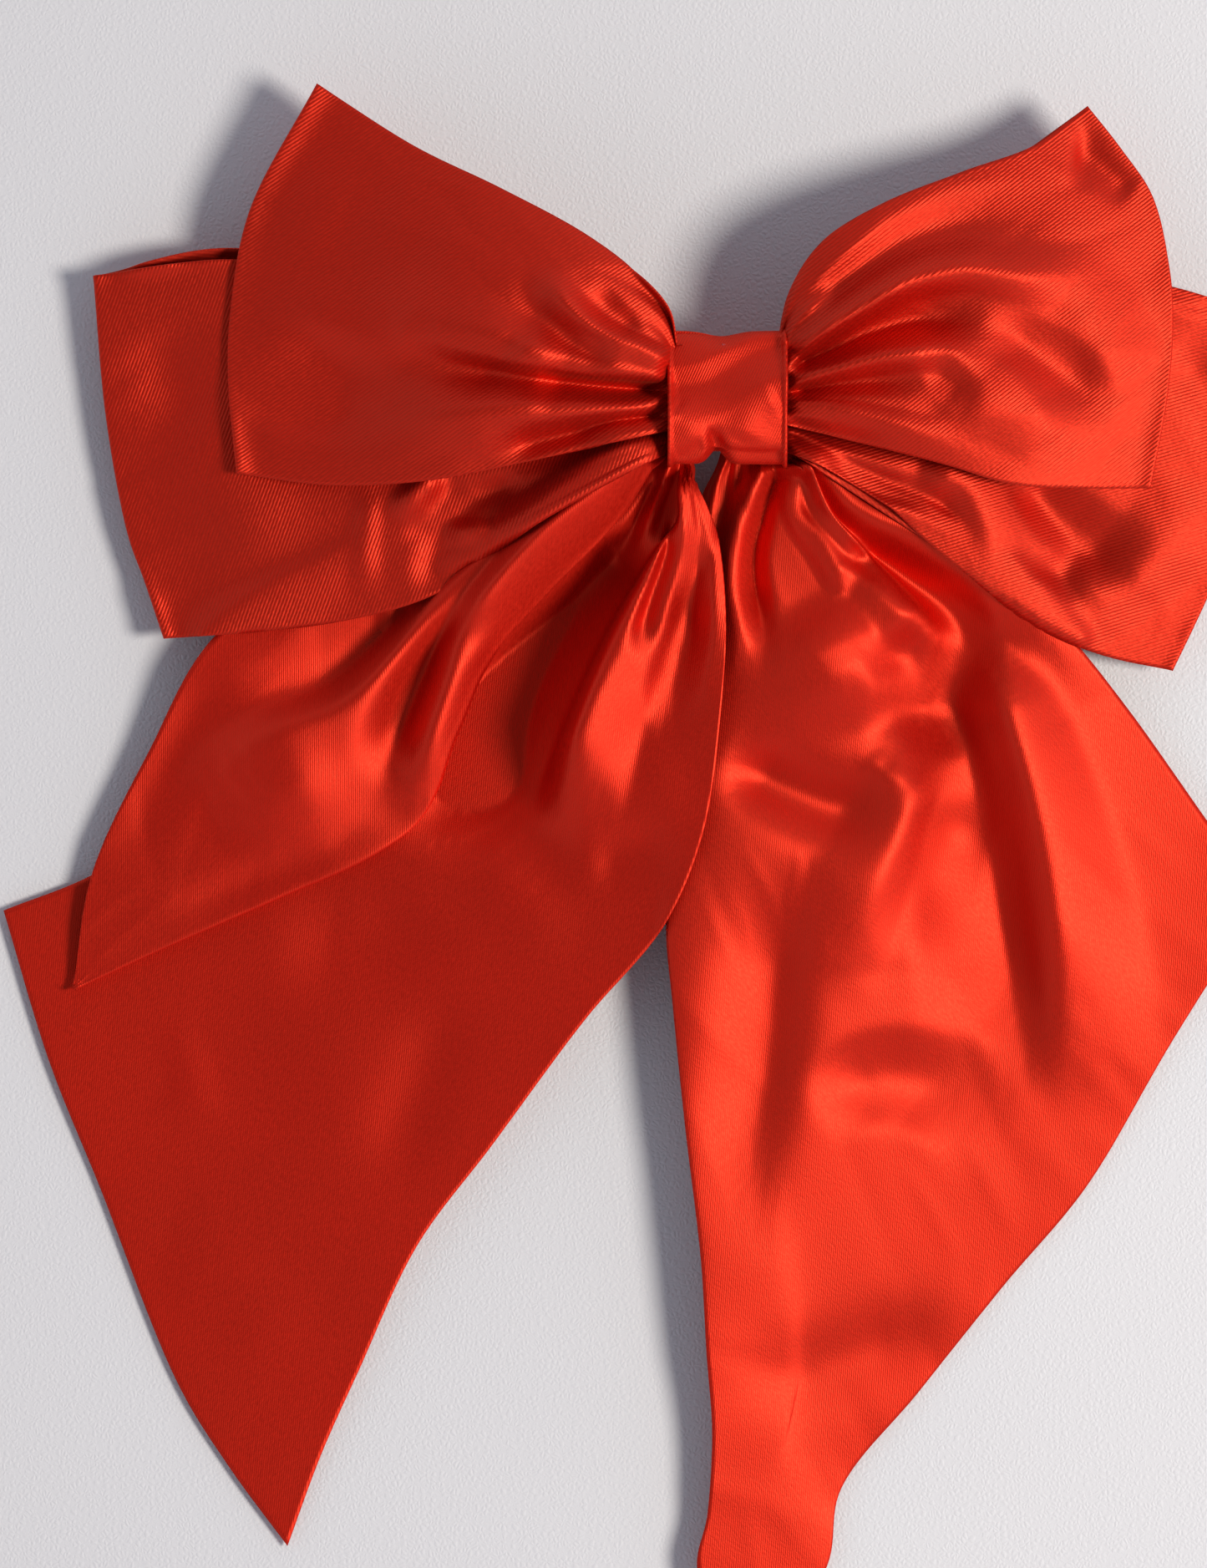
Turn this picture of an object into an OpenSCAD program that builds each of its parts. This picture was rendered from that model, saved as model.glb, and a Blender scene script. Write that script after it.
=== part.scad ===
// Large layered hair bow with two trailing tails on a sprung French barrette.
// It lies face up: X runs along the barrette, +Y towards the top of the bow, +Z out of its face.
// The origin is the middle of the clasp arm's underside, which lies on the table. Units are mm.

/* [Fabric] */
// Thickness of one layer of satin
satin_t = 0.6; // [0.4:0.1:0.8]
// Width across the open side of the upper loops
upper_w = 66; // [50:1:78]
// Width across the open side of the lower loops
lower_w = 63; // [50:1:76]
// From the middle of the knot to the upper left fold
upper_left_reach = 79; // [62:1:95]
// From the middle of the knot to the upper right fold
upper_right_reach = 70; // [56:1:86]
// From the middle of the knot to the lower left fold
lower_left_reach = 102; // [86:1:122]
// From the middle of the knot to the lower right fold
lower_right_reach = 90; // [78:1:110]
// Height of the upper loops' fullest point above their gathered middle
upper_puff = 7; // [4:0.5:9]

/* [Knot] */
// Width of the knot band along the bow
knot_w = 20; // [15:1:26]
// Height of the knot band up the bow's face
knot_h = 23; // [19:1:28]
// Packed thickness of the gathered upper strip
upper_gather_t = 4; // [3:0.5:6]
// Packed thickness of the gathered lower strip
lower_gather_t = 4; // [3:0.5:6]
// Packed thickness of the gathered tail strip
tail_gather_t = 3; // [2.5:0.5:5]
// Diameter of the gathering thread
thread_d = 0.45; // [0.3:0.05:0.6]
// Turns of gathering thread on each strip
thread_turns = 4; // [2:1:6]

/* [Tails] */
// Tip of the left tail
left_tip = [-75, -196];
// Outer corner of the left tail's slanted cut
left_corner = [-123, -87];
// Tip of the right tail
right_tip = [2, -216];
// Outer corner of the right tail's slanted cut
right_corner = [92, -85];
// Height of the soft folds that run down the tails
tail_fold_h = 1; // [0.5:0.1:1.4]
// How far past the barrette the tails take to come down to the table
tail_drop_l = 24; // [16:1:34]

/* [Barrette] */
// Length of the top plate
plate_l = 80; // [68:1:92]
// Width of the top plate
plate_w = 10; // [9:0.5:12]
// Thickness of the top plate
plate_t = 0.8; // [0.6:0.1:1.2]
// Clear height for hair between the arm and the tension spring
hair_gap = 5.2; // [4.5:0.1:8]
// Width of the clasp arm
arm_w = 6; // [5:0.5:7]
// Thickness of the clasp arm
arm_t = 1; // [0.8:0.1:1.4]
// Thickness of the tension spring
spring_t = 0.4; // [0.3:0.05:0.6]
// How far the tension spring bows towards the arm
spring_bow = 1.7; // [1:0.1:2.4]
// Radius of the hinge pin
pin_r = 0.8; // [0.6:0.1:1]
// Radial clearance of the arm on the hinge pin
pin_clear = 0.05; // [0.02:0.01:0.1]
// Radius of a rivet's shank
rivet_r = 0.8; // [0.5:0.1:1]
// Radius of a sewing hole in the plate
sewing_hole_r = 0.9; // [0.6:0.1:1.2]

/* [Hidden] */

SATIN = [0.78, 0.07, 0.05];
THREAD = [0.62, 0.05, 0.05];
GLUE = [0.86, 0.82, 0.70];
STEEL = [0.72, 0.72, 0.74];

$fn = 48;
eps = 0.01;
touch = 0.05;

// Heights, from the table up
bracket_t = 0.5;
spring_gap = 0.6;
spring_z = arm_t + hair_gap;
plate_z = spring_z + spring_t + spring_bow + spring_gap;
plate_top = plate_z + plate_t;
glue_t = 0.6;
tail_gather_z = plate_top + glue_t;
lower_gather_z = tail_gather_z + tail_gather_t;
upper_gather_z = lower_gather_z + lower_gather_t;
gather_top = upper_gather_z + upper_gather_t;
band_t = satin_t;

// Widths of the gathered strips inside the knot
band_corner_r = 2;
upper_gather_w = knot_h - 2 * band_corner_r;
lower_gather_w = upper_gather_w - 1.6;
tail_gather_w = plate_w + 2.4;
thread_waist = thread_d + touch;
waist_l = thread_turns * thread_d * 1.3 + 1;

function lerp(a, b, t) = a + (b - a) * t;
function smooth(t) = let(c = min(1, max(0, t))) c * c * (3 - 2 * c);
function bezier(p, t) =
    pow(1 - t, 3) * p[0] + 3 * pow(1 - t, 2) * t * p[1]
    + 3 * (1 - t) * t * t * p[2] + pow(t, 3) * p[3];

// Faces of a tube of rings, each ring holding the same number of points.
function ring_faces(rings, count, closed) = [
    for (k = [0 : rings - (closed ? 1 : 2)], j = [0 : count - 1])
        let(
            a = k * count, b = ((k + 1) % rings) * count,
            next = (j + 1) % count
        )
        each [[a + j, a + next, b + next], [a + j, b + next, b + j]]
];

// Faces that close one end of a tube whose ring is a flat band: its top points, then its bottom ones back.
function end_faces(ring, count, first) = [
    for (j = [0 : count / 2 - 2])
        let(
            a = ring * count + j, b = a + 1,
            c = ring * count + count - 2 - j, d = c + 1
        )
        each first ? [[a, b, c], [a, c, d]] : [[a, d, c], [a, c, b]]
];

// ---------------------------------------------------------------- loops

loop_steps = 18;
across_steps = 6;
gather_ease = 8;
waist_ease = 2;
fold_half_t = 1.5 * satin_t;

// A strip sewn into a flat ring and gathered in the middle. Paired values are [left, right].
module loop_strip(width, reach, lean, skew, bulge, gather_z, gather_t, gather_w,
                  fold_z, front_puff, back_puff, crown) {
    centre_z = gather_z + gather_t / 2;

    function side(x) = x < 0 ? 0 : 1;
    function past_knot(x) = max(0, abs(x) - knot_w / 2);
    function along(x) = past_knot(x) / (reach[side(x)] - knot_w / 2);
    function waist(x) = thread_waist * (1 - smooth((abs(x) - waist_l / 2) / waist_ease));
    function edge_fall(x, u) = pow(abs(2 * u - 1), 3) * smooth(past_knot(x) / gather_ease);

    function front_z(x, u) = let(s = along(x))
        lerp(gather_z + gather_t - waist(x), fold_z + fold_half_t, s * s)
        + front_puff * sin(180 * s) - crown * edge_fall(x, u) * (1 - s);
    function back_z(x, u) = let(s = along(x))
        lerp(gather_z + waist(x), fold_z - fold_half_t, pow(s, 1.5))
        + back_puff * sin(180 * s) + crown / 3 * edge_fall(x, u) * sin(180 * s);
    function inner_z(x, u, front) =
        let(open = smooth(past_knot(x) / gather_ease))
        front ? lerp(centre_z + touch, front_z(x, u) - satin_t, open)
              : lerp(centre_z - touch, back_z(x, u) + satin_t, open);

    // The fan shape of the strip seen from above
    function plan(x, u) =
        let(
            s = along(x), k = side(x),
            half = lerp(gather_w / 2 - waist(x), width / 2, pow(smooth(s * 0.62 + 0.05 * s), 0.62)),
            y = (2 * u - 1) * half,
            turn = lean[k] * smooth(past_knot(x) / 20),
            out = x + (k == 0 ? -1 : 1) * bulge[k] * s * s * (1 - pow(2 * u - 1, 2))
                + tan(skew[k]) * y * s
        )
        [out * cos(turn) - y * sin(turn), out * sin(turn) + y * cos(turn)];

    // One ring of points per step: outer skin from one edge to the other, then inner skin back
    function station(outer_x, inner_x, front) = [
        for (j = [0 : across_steps])
            let(u = j / across_steps, p = plan(outer_x, u))
            [p[0], p[1], front ? front_z(outer_x, u) : back_z(outer_x, u)],
        for (j = [across_steps : -1 : 0])
            let(u = j / across_steps, p = plan(inner_x, u))
            [p[0], p[1], inner_z(inner_x, u, front)]
    ];
    // Places along the strip, from the left fold through the thread's waist to the right fold
    function places(left, right) = [
        for (k = [0 : loop_steps]) lerp(-left, -knot_w / 2, k / loop_steps),
        -waist_l / 2 - waist_ease, -waist_l / 2, waist_l / 2, waist_l / 2 + waist_ease,
        for (k = [0 : loop_steps]) lerp(knot_w / 2, right, k / loop_steps)
    ];
    outer = places(reach[0], reach[1]);
    inner = places(reach[0] - satin_t, reach[1] - satin_t);
    last = len(outer) - 1;

    stations = [
        for (k = [0 : last]) station(outer[k], inner[k], true),
        for (k = [last : -1 : 0]) station(outer[k], inner[k], false)
    ];
    count = 2 * (across_steps + 1);
    polyhedron([for (s = stations) each s], ring_faces(len(stations), count, true));
}

module upper_loop_strip() {
    color(SATIN)
        loop_strip(
            width = upper_w, reach = [upper_left_reach, upper_right_reach],
            lean = [-13.5, 12.5], skew = [0, 2], bulge = [5, 5],
            gather_z = upper_gather_z, gather_t = upper_gather_t, gather_w = upper_gather_w,
            fold_z = upper_gather_z - 0.6, front_puff = upper_puff, back_puff = 1.6, crown = 1.6
        );
}

module lower_loop_strip() {
    color(SATIN)
        loop_strip(
            width = lower_w, reach = [lower_left_reach, lower_right_reach],
            lean = [6, -11], skew = [4, 13], bulge = [1, 1],
            gather_z = lower_gather_z, gather_t = lower_gather_t, gather_w = lower_gather_w,
            fold_z = 0.48 * lower_gather_z, front_puff = 1, back_puff = 0, crown = 1.1
        );
}

// ---------------------------------------------------------------- tails

tail_steps = 26;
tail_across_steps = 10;
tail_folds = 3;
tail_lie_z = plate_top + 0.7 + satin_t / 2;

// Edges of each tail as curves from the knot to the slanted cut
knot_side = knot_w / 2;
left_outer = [[-knot_side, tail_gather_w / 2], [-50, -10], [-95, -35], left_corner];
left_inner = [[-knot_side, -tail_gather_w / 2], [-knot_side - 0.5, -60], [-14, -110], left_tip];
right_outer = [[knot_side, tail_gather_w / 2], [35, -22], [66, -42], right_corner];
right_inner = [[knot_side, -tail_gather_w / 2], [knot_side + 1, -60], [-16, -105], right_tip];

// One long strip, gathered in the middle, whose halves fan out and lie on the table.
module tail_strip() {
    function off_plate(p) = norm([
        max(0, abs(p[0]) - plate_l / 2),
        max(0, abs(p[1]) - plate_w / 2 - 1)
    ]);
    function centre_z(p, u, v) =
        let(
            over = lerp(tail_gather_z + tail_gather_t / 2, tail_lie_z, smooth(v / 0.1)),
            base = lerp(over, satin_t / 2, smooth(off_plate(p) / tail_drop_l)),
            ripple = 0.5 - 0.5 * cos(360 * tail_folds * u)
        )
        base + tail_fold_h * ripple * sin(180 * min(1, v / 0.8));
    function thickness(v) = lerp(tail_gather_t, satin_t, smooth(v / 0.1));

    function station(outer, inner, v) = [
        for (j = [0 : tail_across_steps])
            let(u = j / tail_across_steps, p = lerp(bezier(outer, v), bezier(inner, v), u))
            [p[0], p[1], centre_z(p, u, v) + thickness(v) / 2],
        for (j = [tail_across_steps : -1 : 0])
            let(u = j / tail_across_steps, p = lerp(bezier(outer, v), bezier(inner, v), u))
            [p[0], p[1], centre_z(p, u, v) - thickness(v) / 2]
    ];
    // The narrower middle, where the thread is wound
    function waist_station(x) = [
        for (j = [0 : tail_across_steps])
            [x, (0.5 - j / tail_across_steps) * (tail_gather_w - 2 * thread_waist),
             tail_gather_z + tail_gather_t - thread_waist],
        for (j = [tail_across_steps : -1 : 0])
            [x, (0.5 - j / tail_across_steps) * (tail_gather_w - 2 * thread_waist),
             tail_gather_z + thread_waist]
    ];
    stations = [
        for (k = [tail_steps : -1 : 0]) station(left_outer, left_inner, k / tail_steps),
        waist_station(-waist_l / 2),
        waist_station(waist_l / 2),
        for (k = [0 : tail_steps]) station(right_outer, right_inner, k / tail_steps)
    ];
    count = 2 * (tail_across_steps + 1);
    color(SATIN)
        polyhedron(
            [for (s = stations) each s],
            concat(
                [for (f = ring_faces(len(stations), count, false)) [f[2], f[1], f[0]]],
                end_faces(0, count, true),
                end_faces(len(stations) - 1, count, false)
            )
        );
}

// ---------------------------------------------------------------- knot

// The band's outline round the gathered strips and the barrette's plate
module band_outline() {
    hull()
        for (side = [-1, 1]) {
            translate([side * (knot_h / 2 - band_corner_r), gather_top + band_t - band_corner_r])
                circle(band_corner_r);
            translate([side * (knot_h / 2 - band_corner_r), lower_gather_z])
                circle(band_corner_r);
            translate([side * (plate_w / 2 + touch), plate_z])
                circle(band_t);
        }
}

// Stands a profile drawn across the bow up, and runs it along the bow.
module along_bow(length) {
    rotate([90, 0, 90])
        linear_extrude(length, center = true)
            children();
}

module knot_band() {
    color(SATIN)
        along_bow(knot_w)
            difference() {
                band_outline();
                offset(delta = -band_t) band_outline();
            }
}

// Turns of thread round one gathered strip
module gathering_thread(z, thickness, width) {
    inner_h = thickness - 2 * thread_waist;
    inner_w = width - 2 * thread_waist;
    pitch = thread_d * 1.3;
    color(THREAD)
        for (k = [0 : thread_turns - 1])
            translate([(k - (thread_turns - 1) / 2) * pitch, 0, z + thickness / 2])
                along_bow(thread_d)
                    difference() {
                        square([inner_w + 2 * thread_d, inner_h + 2 * thread_d], center = true);
                        square([inner_w, inner_h], center = true);
                    }
}

module upper_gathering_thread() {
    gathering_thread(upper_gather_z, upper_gather_t, upper_gather_w);
}

module lower_gathering_thread() {
    gathering_thread(lower_gather_z, lower_gather_t, lower_gather_w);
}

module tail_gathering_thread() {
    gathering_thread(tail_gather_z, tail_gather_t, tail_gather_w);
}

// Small stitches that close the band's lap under the plate
module knot_band_stitches() {
    stitch_l = 2;
    stitches = 4;
    pitch = knot_w * 0.8 / stitches;
    color(THREAD)
        for (k = [0 : stitches - 1])
            translate([(k - (stitches - 1) / 2) * pitch - stitch_l / 2, 0,
                       plate_z - band_t])
                rotate([0, 90, 0])
                    cylinder(d = thread_d, h = stitch_l);
}

module glue_pad() {
    color(GLUE)
        translate([0, 0, plate_top])
            linear_extrude(glue_t)
                square([knot_w - 1, plate_w - 1], center = true);
}

// ---------------------------------------------------------------- barrette

pin_x = -(plate_l / 2 - 2.5);
pin_z = plate_z - 3;
lug_r = pin_r + 0.8;
lug_t = 0.6;
lug_gap = 0.2;
rivet_x = plate_l / 2 - 8;
rivet_head_r = rivet_r + 0.6;
rivet_head_t = 0.4;
bracket_l = 10;
bracket_w = plate_w - 1.6;
tab_t = 0.5;

// Catch, at the other end from the hinge
rail_w = 1;
rail_t = 1;
rail_z = arm_t + 1.1;
window_end_x = plate_l / 2 - 1;
window_l = 5;
tab_y = 2;
tab_pivot_z = plate_z - bracket_t - 0.5;
tab_foot_z = 0.8;
tab_barb_h = 1;
tab_pad_l = 3.6;
tab_flare = 2.3;
catch_clear = 0.1;
catch_gap = 0.3;
barb_reach = 0.6;
window_half_w = tab_y + tab_t / 2 + barb_reach + catch_clear;

module pin_hole(x, z, r, width) {
    translate([x, 0, z])
        rotate([90, 0, 0])
            cylinder(r = r, h = width, center = true);
}

module barrette_plate() {
    color(STEEL)
        difference() {
            translate([0, 0, plate_z])
                linear_extrude(plate_t)
                    union() {
                        square([plate_l - plate_w, plate_w], center = true);
                        for (side = [-1, 1])
                            translate([side * (plate_l - plate_w) / 2, 0]) circle(d = plate_w);
                    }
            for (side = [-1, 1]) {
                translate([side * rivet_x, 0, plate_z - eps])
                    cylinder(r = rivet_r, h = plate_t + 2 * eps);
                translate([side * (rivet_x - 8), 0, plate_z - eps])
                    cylinder(r = sewing_hole_r, h = plate_t + 2 * eps);
            }
        }
}

// A bracket's flat base under the plate, drilled for its rivet
module bracket_base(side) {
    difference() {
        translate([side * (plate_l / 2 - 1 - bracket_l / 2), 0, plate_z - bracket_t / 2])
            cube([bracket_l, bracket_w, bracket_t], center = true);
        translate([side * rivet_x, 0, plate_z - bracket_t - eps])
            cylinder(r = rivet_r, h = bracket_t + 2 * eps);
    }
}

module hinge_bracket() {
    ear_y = arm_w / 2 + lug_gap;
    color(STEEL)
        difference() {
            union() {
                bracket_base(-1);
                for (side = [-1, 1])
                    translate([0, side * (ear_y + lug_t / 2), 0]) {
                        translate([pin_x, 0, pin_z])
                            rotate([90, 0, 0])
                                cylinder(r = lug_r, h = lug_t, center = true);
                        translate([pin_x, 0, (pin_z + plate_z - bracket_t) / 2])
                            cube([2 * lug_r, lug_t, plate_z - bracket_t - pin_z + eps], center = true);
                    }
            }
            pin_hole(pin_x, pin_z, pin_r, 2 * plate_w);
        }
}

module hinge_pin() {
    ear_outer = arm_w / 2 + lug_gap + lug_t;
    head_t = 0.4;
    color(STEEL) {
        pin_hole(pin_x, pin_z, pin_r, 2 * ear_outer);
        for (side = [-1, 1])
            translate([0, side * (ear_outer + head_t / 2), 0])
                pin_hole(pin_x, pin_z, pin_r + 0.4, head_t);
    }
}

// The arm: a flat bar with two lugs on the pin and a window that drops over the catch.
module clasp_arm() {
    bar_end_x = window_end_x - rail_w - window_l - 3;
    color(STEEL)
        difference() {
            union() {
                translate([pin_x - lug_r, -arm_w / 2, 0])
                    cube([bar_end_x - pin_x + lug_r, arm_w, arm_t]);
                for (side = [-1, 1])
                    translate([0, side * (arm_w - lug_t) / 2, 0]) {
                        pin_hole(pin_x, pin_z, lug_r, lug_t);
                        translate([pin_x - lug_r, -lug_t / 2, 0])
                            cube([2 * lug_r, lug_t, pin_z]);
                    }
                // Joggle up to the window, then the window's frame
                rotate([90, 0, 0])
                    linear_extrude(arm_w, center = true)
                        polygon([
                            [bar_end_x - eps, 0],
                            [bar_end_x + 2, rail_z],
                            [bar_end_x + 3, rail_z],
                            [bar_end_x + 3, rail_z + rail_t],
                            [bar_end_x + 1.4, rail_z + rail_t],
                            [bar_end_x - eps, arm_t]
                        ]);
                translate([bar_end_x + 2.5, -window_half_w - rail_w, rail_z])
                    cube([window_end_x - bar_end_x - 2.5, 2 * (window_half_w + rail_w), rail_t]);
            }
            pin_hole(pin_x, pin_z, pin_r + pin_clear, 2 * plate_w);
            translate([window_end_x - rail_w - window_l, -window_half_w, rail_z - eps])
                cube([window_l, 2 * window_half_w, rail_t + 2 * eps]);
        }
}

// A thin strip riveted at the hinge end that bows towards the arm.
module tension_spring() {
    spring_w = 5;
    tab_l = 6;
    tab_z = plate_z - bracket_t - spring_t;
    free_end = rivet_x - 3;
    fixed_end = rivet_x - tab_l / 2;
    half = (free_end + fixed_end) / 2;
    rise = tab_z - spring_z;
    bow_r = (half * half + rise * rise) / (2 * rise);
    color(STEEL)
        difference() {
            union() {
                intersection() {
                    translate([(free_end - fixed_end) / 2, 0, spring_z + bow_r])
                        rotate([90, 0, 0])
                            difference() {
                                cylinder(r = bow_r, h = spring_w, center = true, $fn = 180);
                                cylinder(r = bow_r - spring_t, h = spring_w + 1, center = true, $fn = 180);
                            }
                    translate([-fixed_end, -spring_w, 0])
                        cube([fixed_end + free_end, 2 * spring_w, plate_z - bracket_t]);
                }
                translate([-fixed_end - tab_l + 0.5, -spring_w / 2, tab_z])
                    cube([tab_l, spring_w, spring_t]);
            }
            translate([-rivet_x, 0, tab_z - eps])
                cylinder(r = rivet_r, h = spring_t + 2 * eps);
        }
}

module catch_bracket() {
    cheek_l = window_l - 2 * catch_gap;
    cheek_x = window_end_x - rail_w - window_l + catch_gap;
    cheek_t = 0.5;
    cheek_drop = 1.1;
    color(STEEL)
        union() {
            bracket_base(1);
            for (side = [-1, 1])
                translate([cheek_x, side * (tab_y + tab_t / 2 + touch + cheek_t / 2) - cheek_t / 2,
                           plate_z - bracket_t - cheek_drop])
                    cube([cheek_l, cheek_t, cheek_drop + eps]);
        }
}

// A sprung finger of the catch: its barb sits under the arm's rail and its pad is pinched inwards.
module release_tab(side) {
    finger_x = window_end_x - rail_w - window_l + catch_gap;
    finger_l = window_l - 2 * catch_gap;
    pad_x = window_end_x + catch_gap;
    bridge_z = rail_z + rail_t + catch_gap;
    color(STEEL)
        union() {
            // Finger through the window, rounded where it turns
            translate([finger_x, side * tab_y, tab_pivot_z])
                rotate([0, 90, 0])
                    cylinder(d = tab_t, h = finger_l);
            translate([finger_x, side * tab_y - tab_t / 2, tab_foot_z])
                cube([finger_l, tab_t, tab_pivot_z - tab_foot_z]);
            // Barb under the rail
            translate([finger_x, side > 0 ? tab_y : -tab_y - tab_t / 2 - barb_reach, tab_foot_z])
                cube([finger_l, tab_t / 2 + barb_reach, tab_barb_h]);
            // Bridge over the window's end bar to the pad
            translate([finger_x, side * tab_y - tab_t / 2, bridge_z])
                cube([pad_x + tab_pad_l - finger_x, tab_t, tab_pivot_z - bridge_z - 0.8]);
            // Pad, flared out for finger and thumb
            translate([pad_x, 0, 0])
                rotate([90, 0, 90])
                    linear_extrude(tab_pad_l)
                        polygon([
                            [side * (tab_y - tab_t / 2), bridge_z + 0.5],
                            [side * (tab_y + tab_t / 2), bridge_z + 0.5],
                            [side * (tab_y + tab_t / 2 + tab_flare), tab_foot_z],
                            [side * (tab_y - tab_t / 2 + tab_flare), tab_foot_z]
                        ]);
        }
}

module release_tab_front() {
    release_tab(-1);
}

module release_tab_back() {
    release_tab(1);
}

module rivet(x, foot_z) {
    translate([x, 0, foot_z]) {
        cylinder(r = rivet_r, h = plate_top - foot_z);
        translate([0, 0, -rivet_head_t]) cylinder(r = rivet_head_r, h = rivet_head_t);
        translate([0, 0, plate_top - foot_z]) cylinder(r = rivet_head_r, h = rivet_head_t);
    }
}

module plate_rivets() {
    color(STEEL) {
        rivet(-rivet_x, plate_z - bracket_t - spring_t);
        rivet(rivet_x, plate_z - bracket_t);
    }
}

upper_loop_strip();
lower_loop_strip();
tail_strip();
knot_band();
upper_gathering_thread();
lower_gathering_thread();
tail_gathering_thread();
knot_band_stitches();
glue_pad();
barrette_plate();
hinge_bracket();
hinge_pin();
clasp_arm();
tension_spring();
catch_bracket();
release_tab_front();
release_tab_back();
plate_rivets();
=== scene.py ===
"""A large satin hair bow with long tails on a sprung barrette, lying face up on a pale leather-grained table.

Shapes are worked out in millimetres in the object's own frame and put into Blender in metres.
A sheet of cloth is a grid of points: rows run along the strip, columns across it.
"""

import math

import bpy
import numpy as np
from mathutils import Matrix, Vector


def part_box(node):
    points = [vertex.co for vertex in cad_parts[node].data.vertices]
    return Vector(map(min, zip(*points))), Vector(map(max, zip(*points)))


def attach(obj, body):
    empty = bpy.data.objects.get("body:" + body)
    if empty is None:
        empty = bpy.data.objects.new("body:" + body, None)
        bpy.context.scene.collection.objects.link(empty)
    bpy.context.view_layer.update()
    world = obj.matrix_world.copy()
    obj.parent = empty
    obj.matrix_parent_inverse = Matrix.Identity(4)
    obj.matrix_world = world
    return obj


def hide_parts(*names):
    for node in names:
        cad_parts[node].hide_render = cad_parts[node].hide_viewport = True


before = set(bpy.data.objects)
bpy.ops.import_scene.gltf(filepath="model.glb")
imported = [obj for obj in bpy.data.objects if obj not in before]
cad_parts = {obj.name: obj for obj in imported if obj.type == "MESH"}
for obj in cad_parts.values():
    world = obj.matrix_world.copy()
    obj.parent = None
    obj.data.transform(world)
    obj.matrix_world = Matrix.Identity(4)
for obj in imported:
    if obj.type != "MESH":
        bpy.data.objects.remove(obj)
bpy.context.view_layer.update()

MM = 0.001
UV_NAME = "cloth_mm"
UV_MM = 100.0  # One UV unit is this many millimetres of cloth
CLOTH_T = 0.3
BAND_T = 0.5
TABLE_GAP = 0.25  # Least height of the cloth's middle over the table
TABLE_Z = -0.0001  # Metres; just under the clasp arm
TABLE_HALF = 4.0  # Metres; its edges are out of sight from low angles too
BACK_DROP = 0.9  # How far a loop's back layer hangs below its outline
LOOP_GRID = (110, 92)  # Rows and columns
TAIL_GRID = (230, 130)
TURN_GRID = (130, 50)
MAP_X, MAP_Y = -150, -230  # The height map's corner; its cells are 1 mm wide
MAP_CELLS = (300, 320)
EMPTY = -5.0  # Its height where there's no cloth


def cad_mm(node):
    """A CAD node's lowest and highest corners in millimetres."""
    low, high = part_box(node)
    return np.array(low) / MM, np.array(high) / MM


KNOT_X, KNOT_Y, KNOT_TOP = cad_mm("knot_band")[1]
PLATE_BOTTOM = cad_mm("barrette_plate")[0][2]


# ------- shape tools

def lerp(a, b, t):
    return a + (b - a) * t


def smooth(t):
    """Rises from 0 to 1 with a soft start and end."""
    t = np.clip(t, 0.0, 1.0)
    return t * t * (3 - 2 * t)


def unit(vectors):
    """The same directions with length 1."""
    return vectors / np.linalg.norm(vectors, axis=1)[:, None]


def lengths(line):
    """How far along a line each of its points is."""
    return np.concatenate([[0], np.cumsum(np.linalg.norm(np.diff(line, axis=0), axis=1))])


def resample(line, count):
    """The same line with count points evenly along it."""
    along = lengths(line)
    at = np.linspace(0, along[-1], count)
    return np.stack([np.interp(at, along, line[:, k]) for k in range(line.shape[1])], axis=1)


def curve(points, count):
    """A smooth curve through points, resampled to count points evenly along its length."""
    p = np.array(points, dtype=float)
    p = np.vstack([2 * p[0] - p[1], p, 2 * p[-1] - p[-2]])
    out = []
    for k in range(1, len(p) - 2):
        a, b, c, d = p[k - 1 : k + 3]
        gap = [max(np.linalg.norm(q), 1e-6) ** 0.5 for q in (b - a, c - b, d - c)]
        slope_b = (c - b) + gap[1] * ((b - a) / gap[0] - (c - a) / (gap[0] + gap[1]))
        slope_c = (c - b) + gap[1] * ((d - c) / gap[2] - (d - b) / (gap[1] + gap[2]))
        t = np.linspace(0, 1, 24, endpoint=False)[:, None]
        out.append(
            (2 * t**3 - 3 * t**2 + 1) * b + (t**3 - 2 * t**2 + t) * slope_b
            + (3 * t**2 - 2 * t**3) * c + (t**3 - t**2) * slope_c
        )
    out = np.vstack(out + [p[-2][None]])
    return resample(out, count)


def shares(sheet):
    """How far along and across a sheet each row and column is, from 0 to 1."""
    rows, cols = sheet.shape[:2]
    return np.linspace(0, 1, rows)[:, None], np.linspace(0, 1, cols)[None]


def patch(low_edge, high_edge, end_edge, grid):
    """A sheet from the knot (row 0) out to end_edge (last row), between two long edges."""
    rows, cols = grid
    low = curve(low_edge, rows)
    high = curve(high_edge, rows)
    end = curve(end_edge, cols)
    across = np.linspace(0, 1, cols)[None, :, None]
    along = np.linspace(0, 1, rows)[:, None, None]
    straight = lerp(low[:, None], high[:, None], across)
    bow = end[None] - lerp(low[-1], high[-1], across[0])[None]
    return straight + bow * along**3


def tent(r, crest=0.15):
    """A fold's cross-section: flat flanks, a slightly rounded crest and a soft foot.

    r is how far the crest is, as a share of the fold's half width.
    """
    slope = 1 - 0.8 * (np.sqrt(r * r + crest * crest) - crest)
    return 0.5 * (slope + np.sqrt(slope * slope + 0.012))


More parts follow.
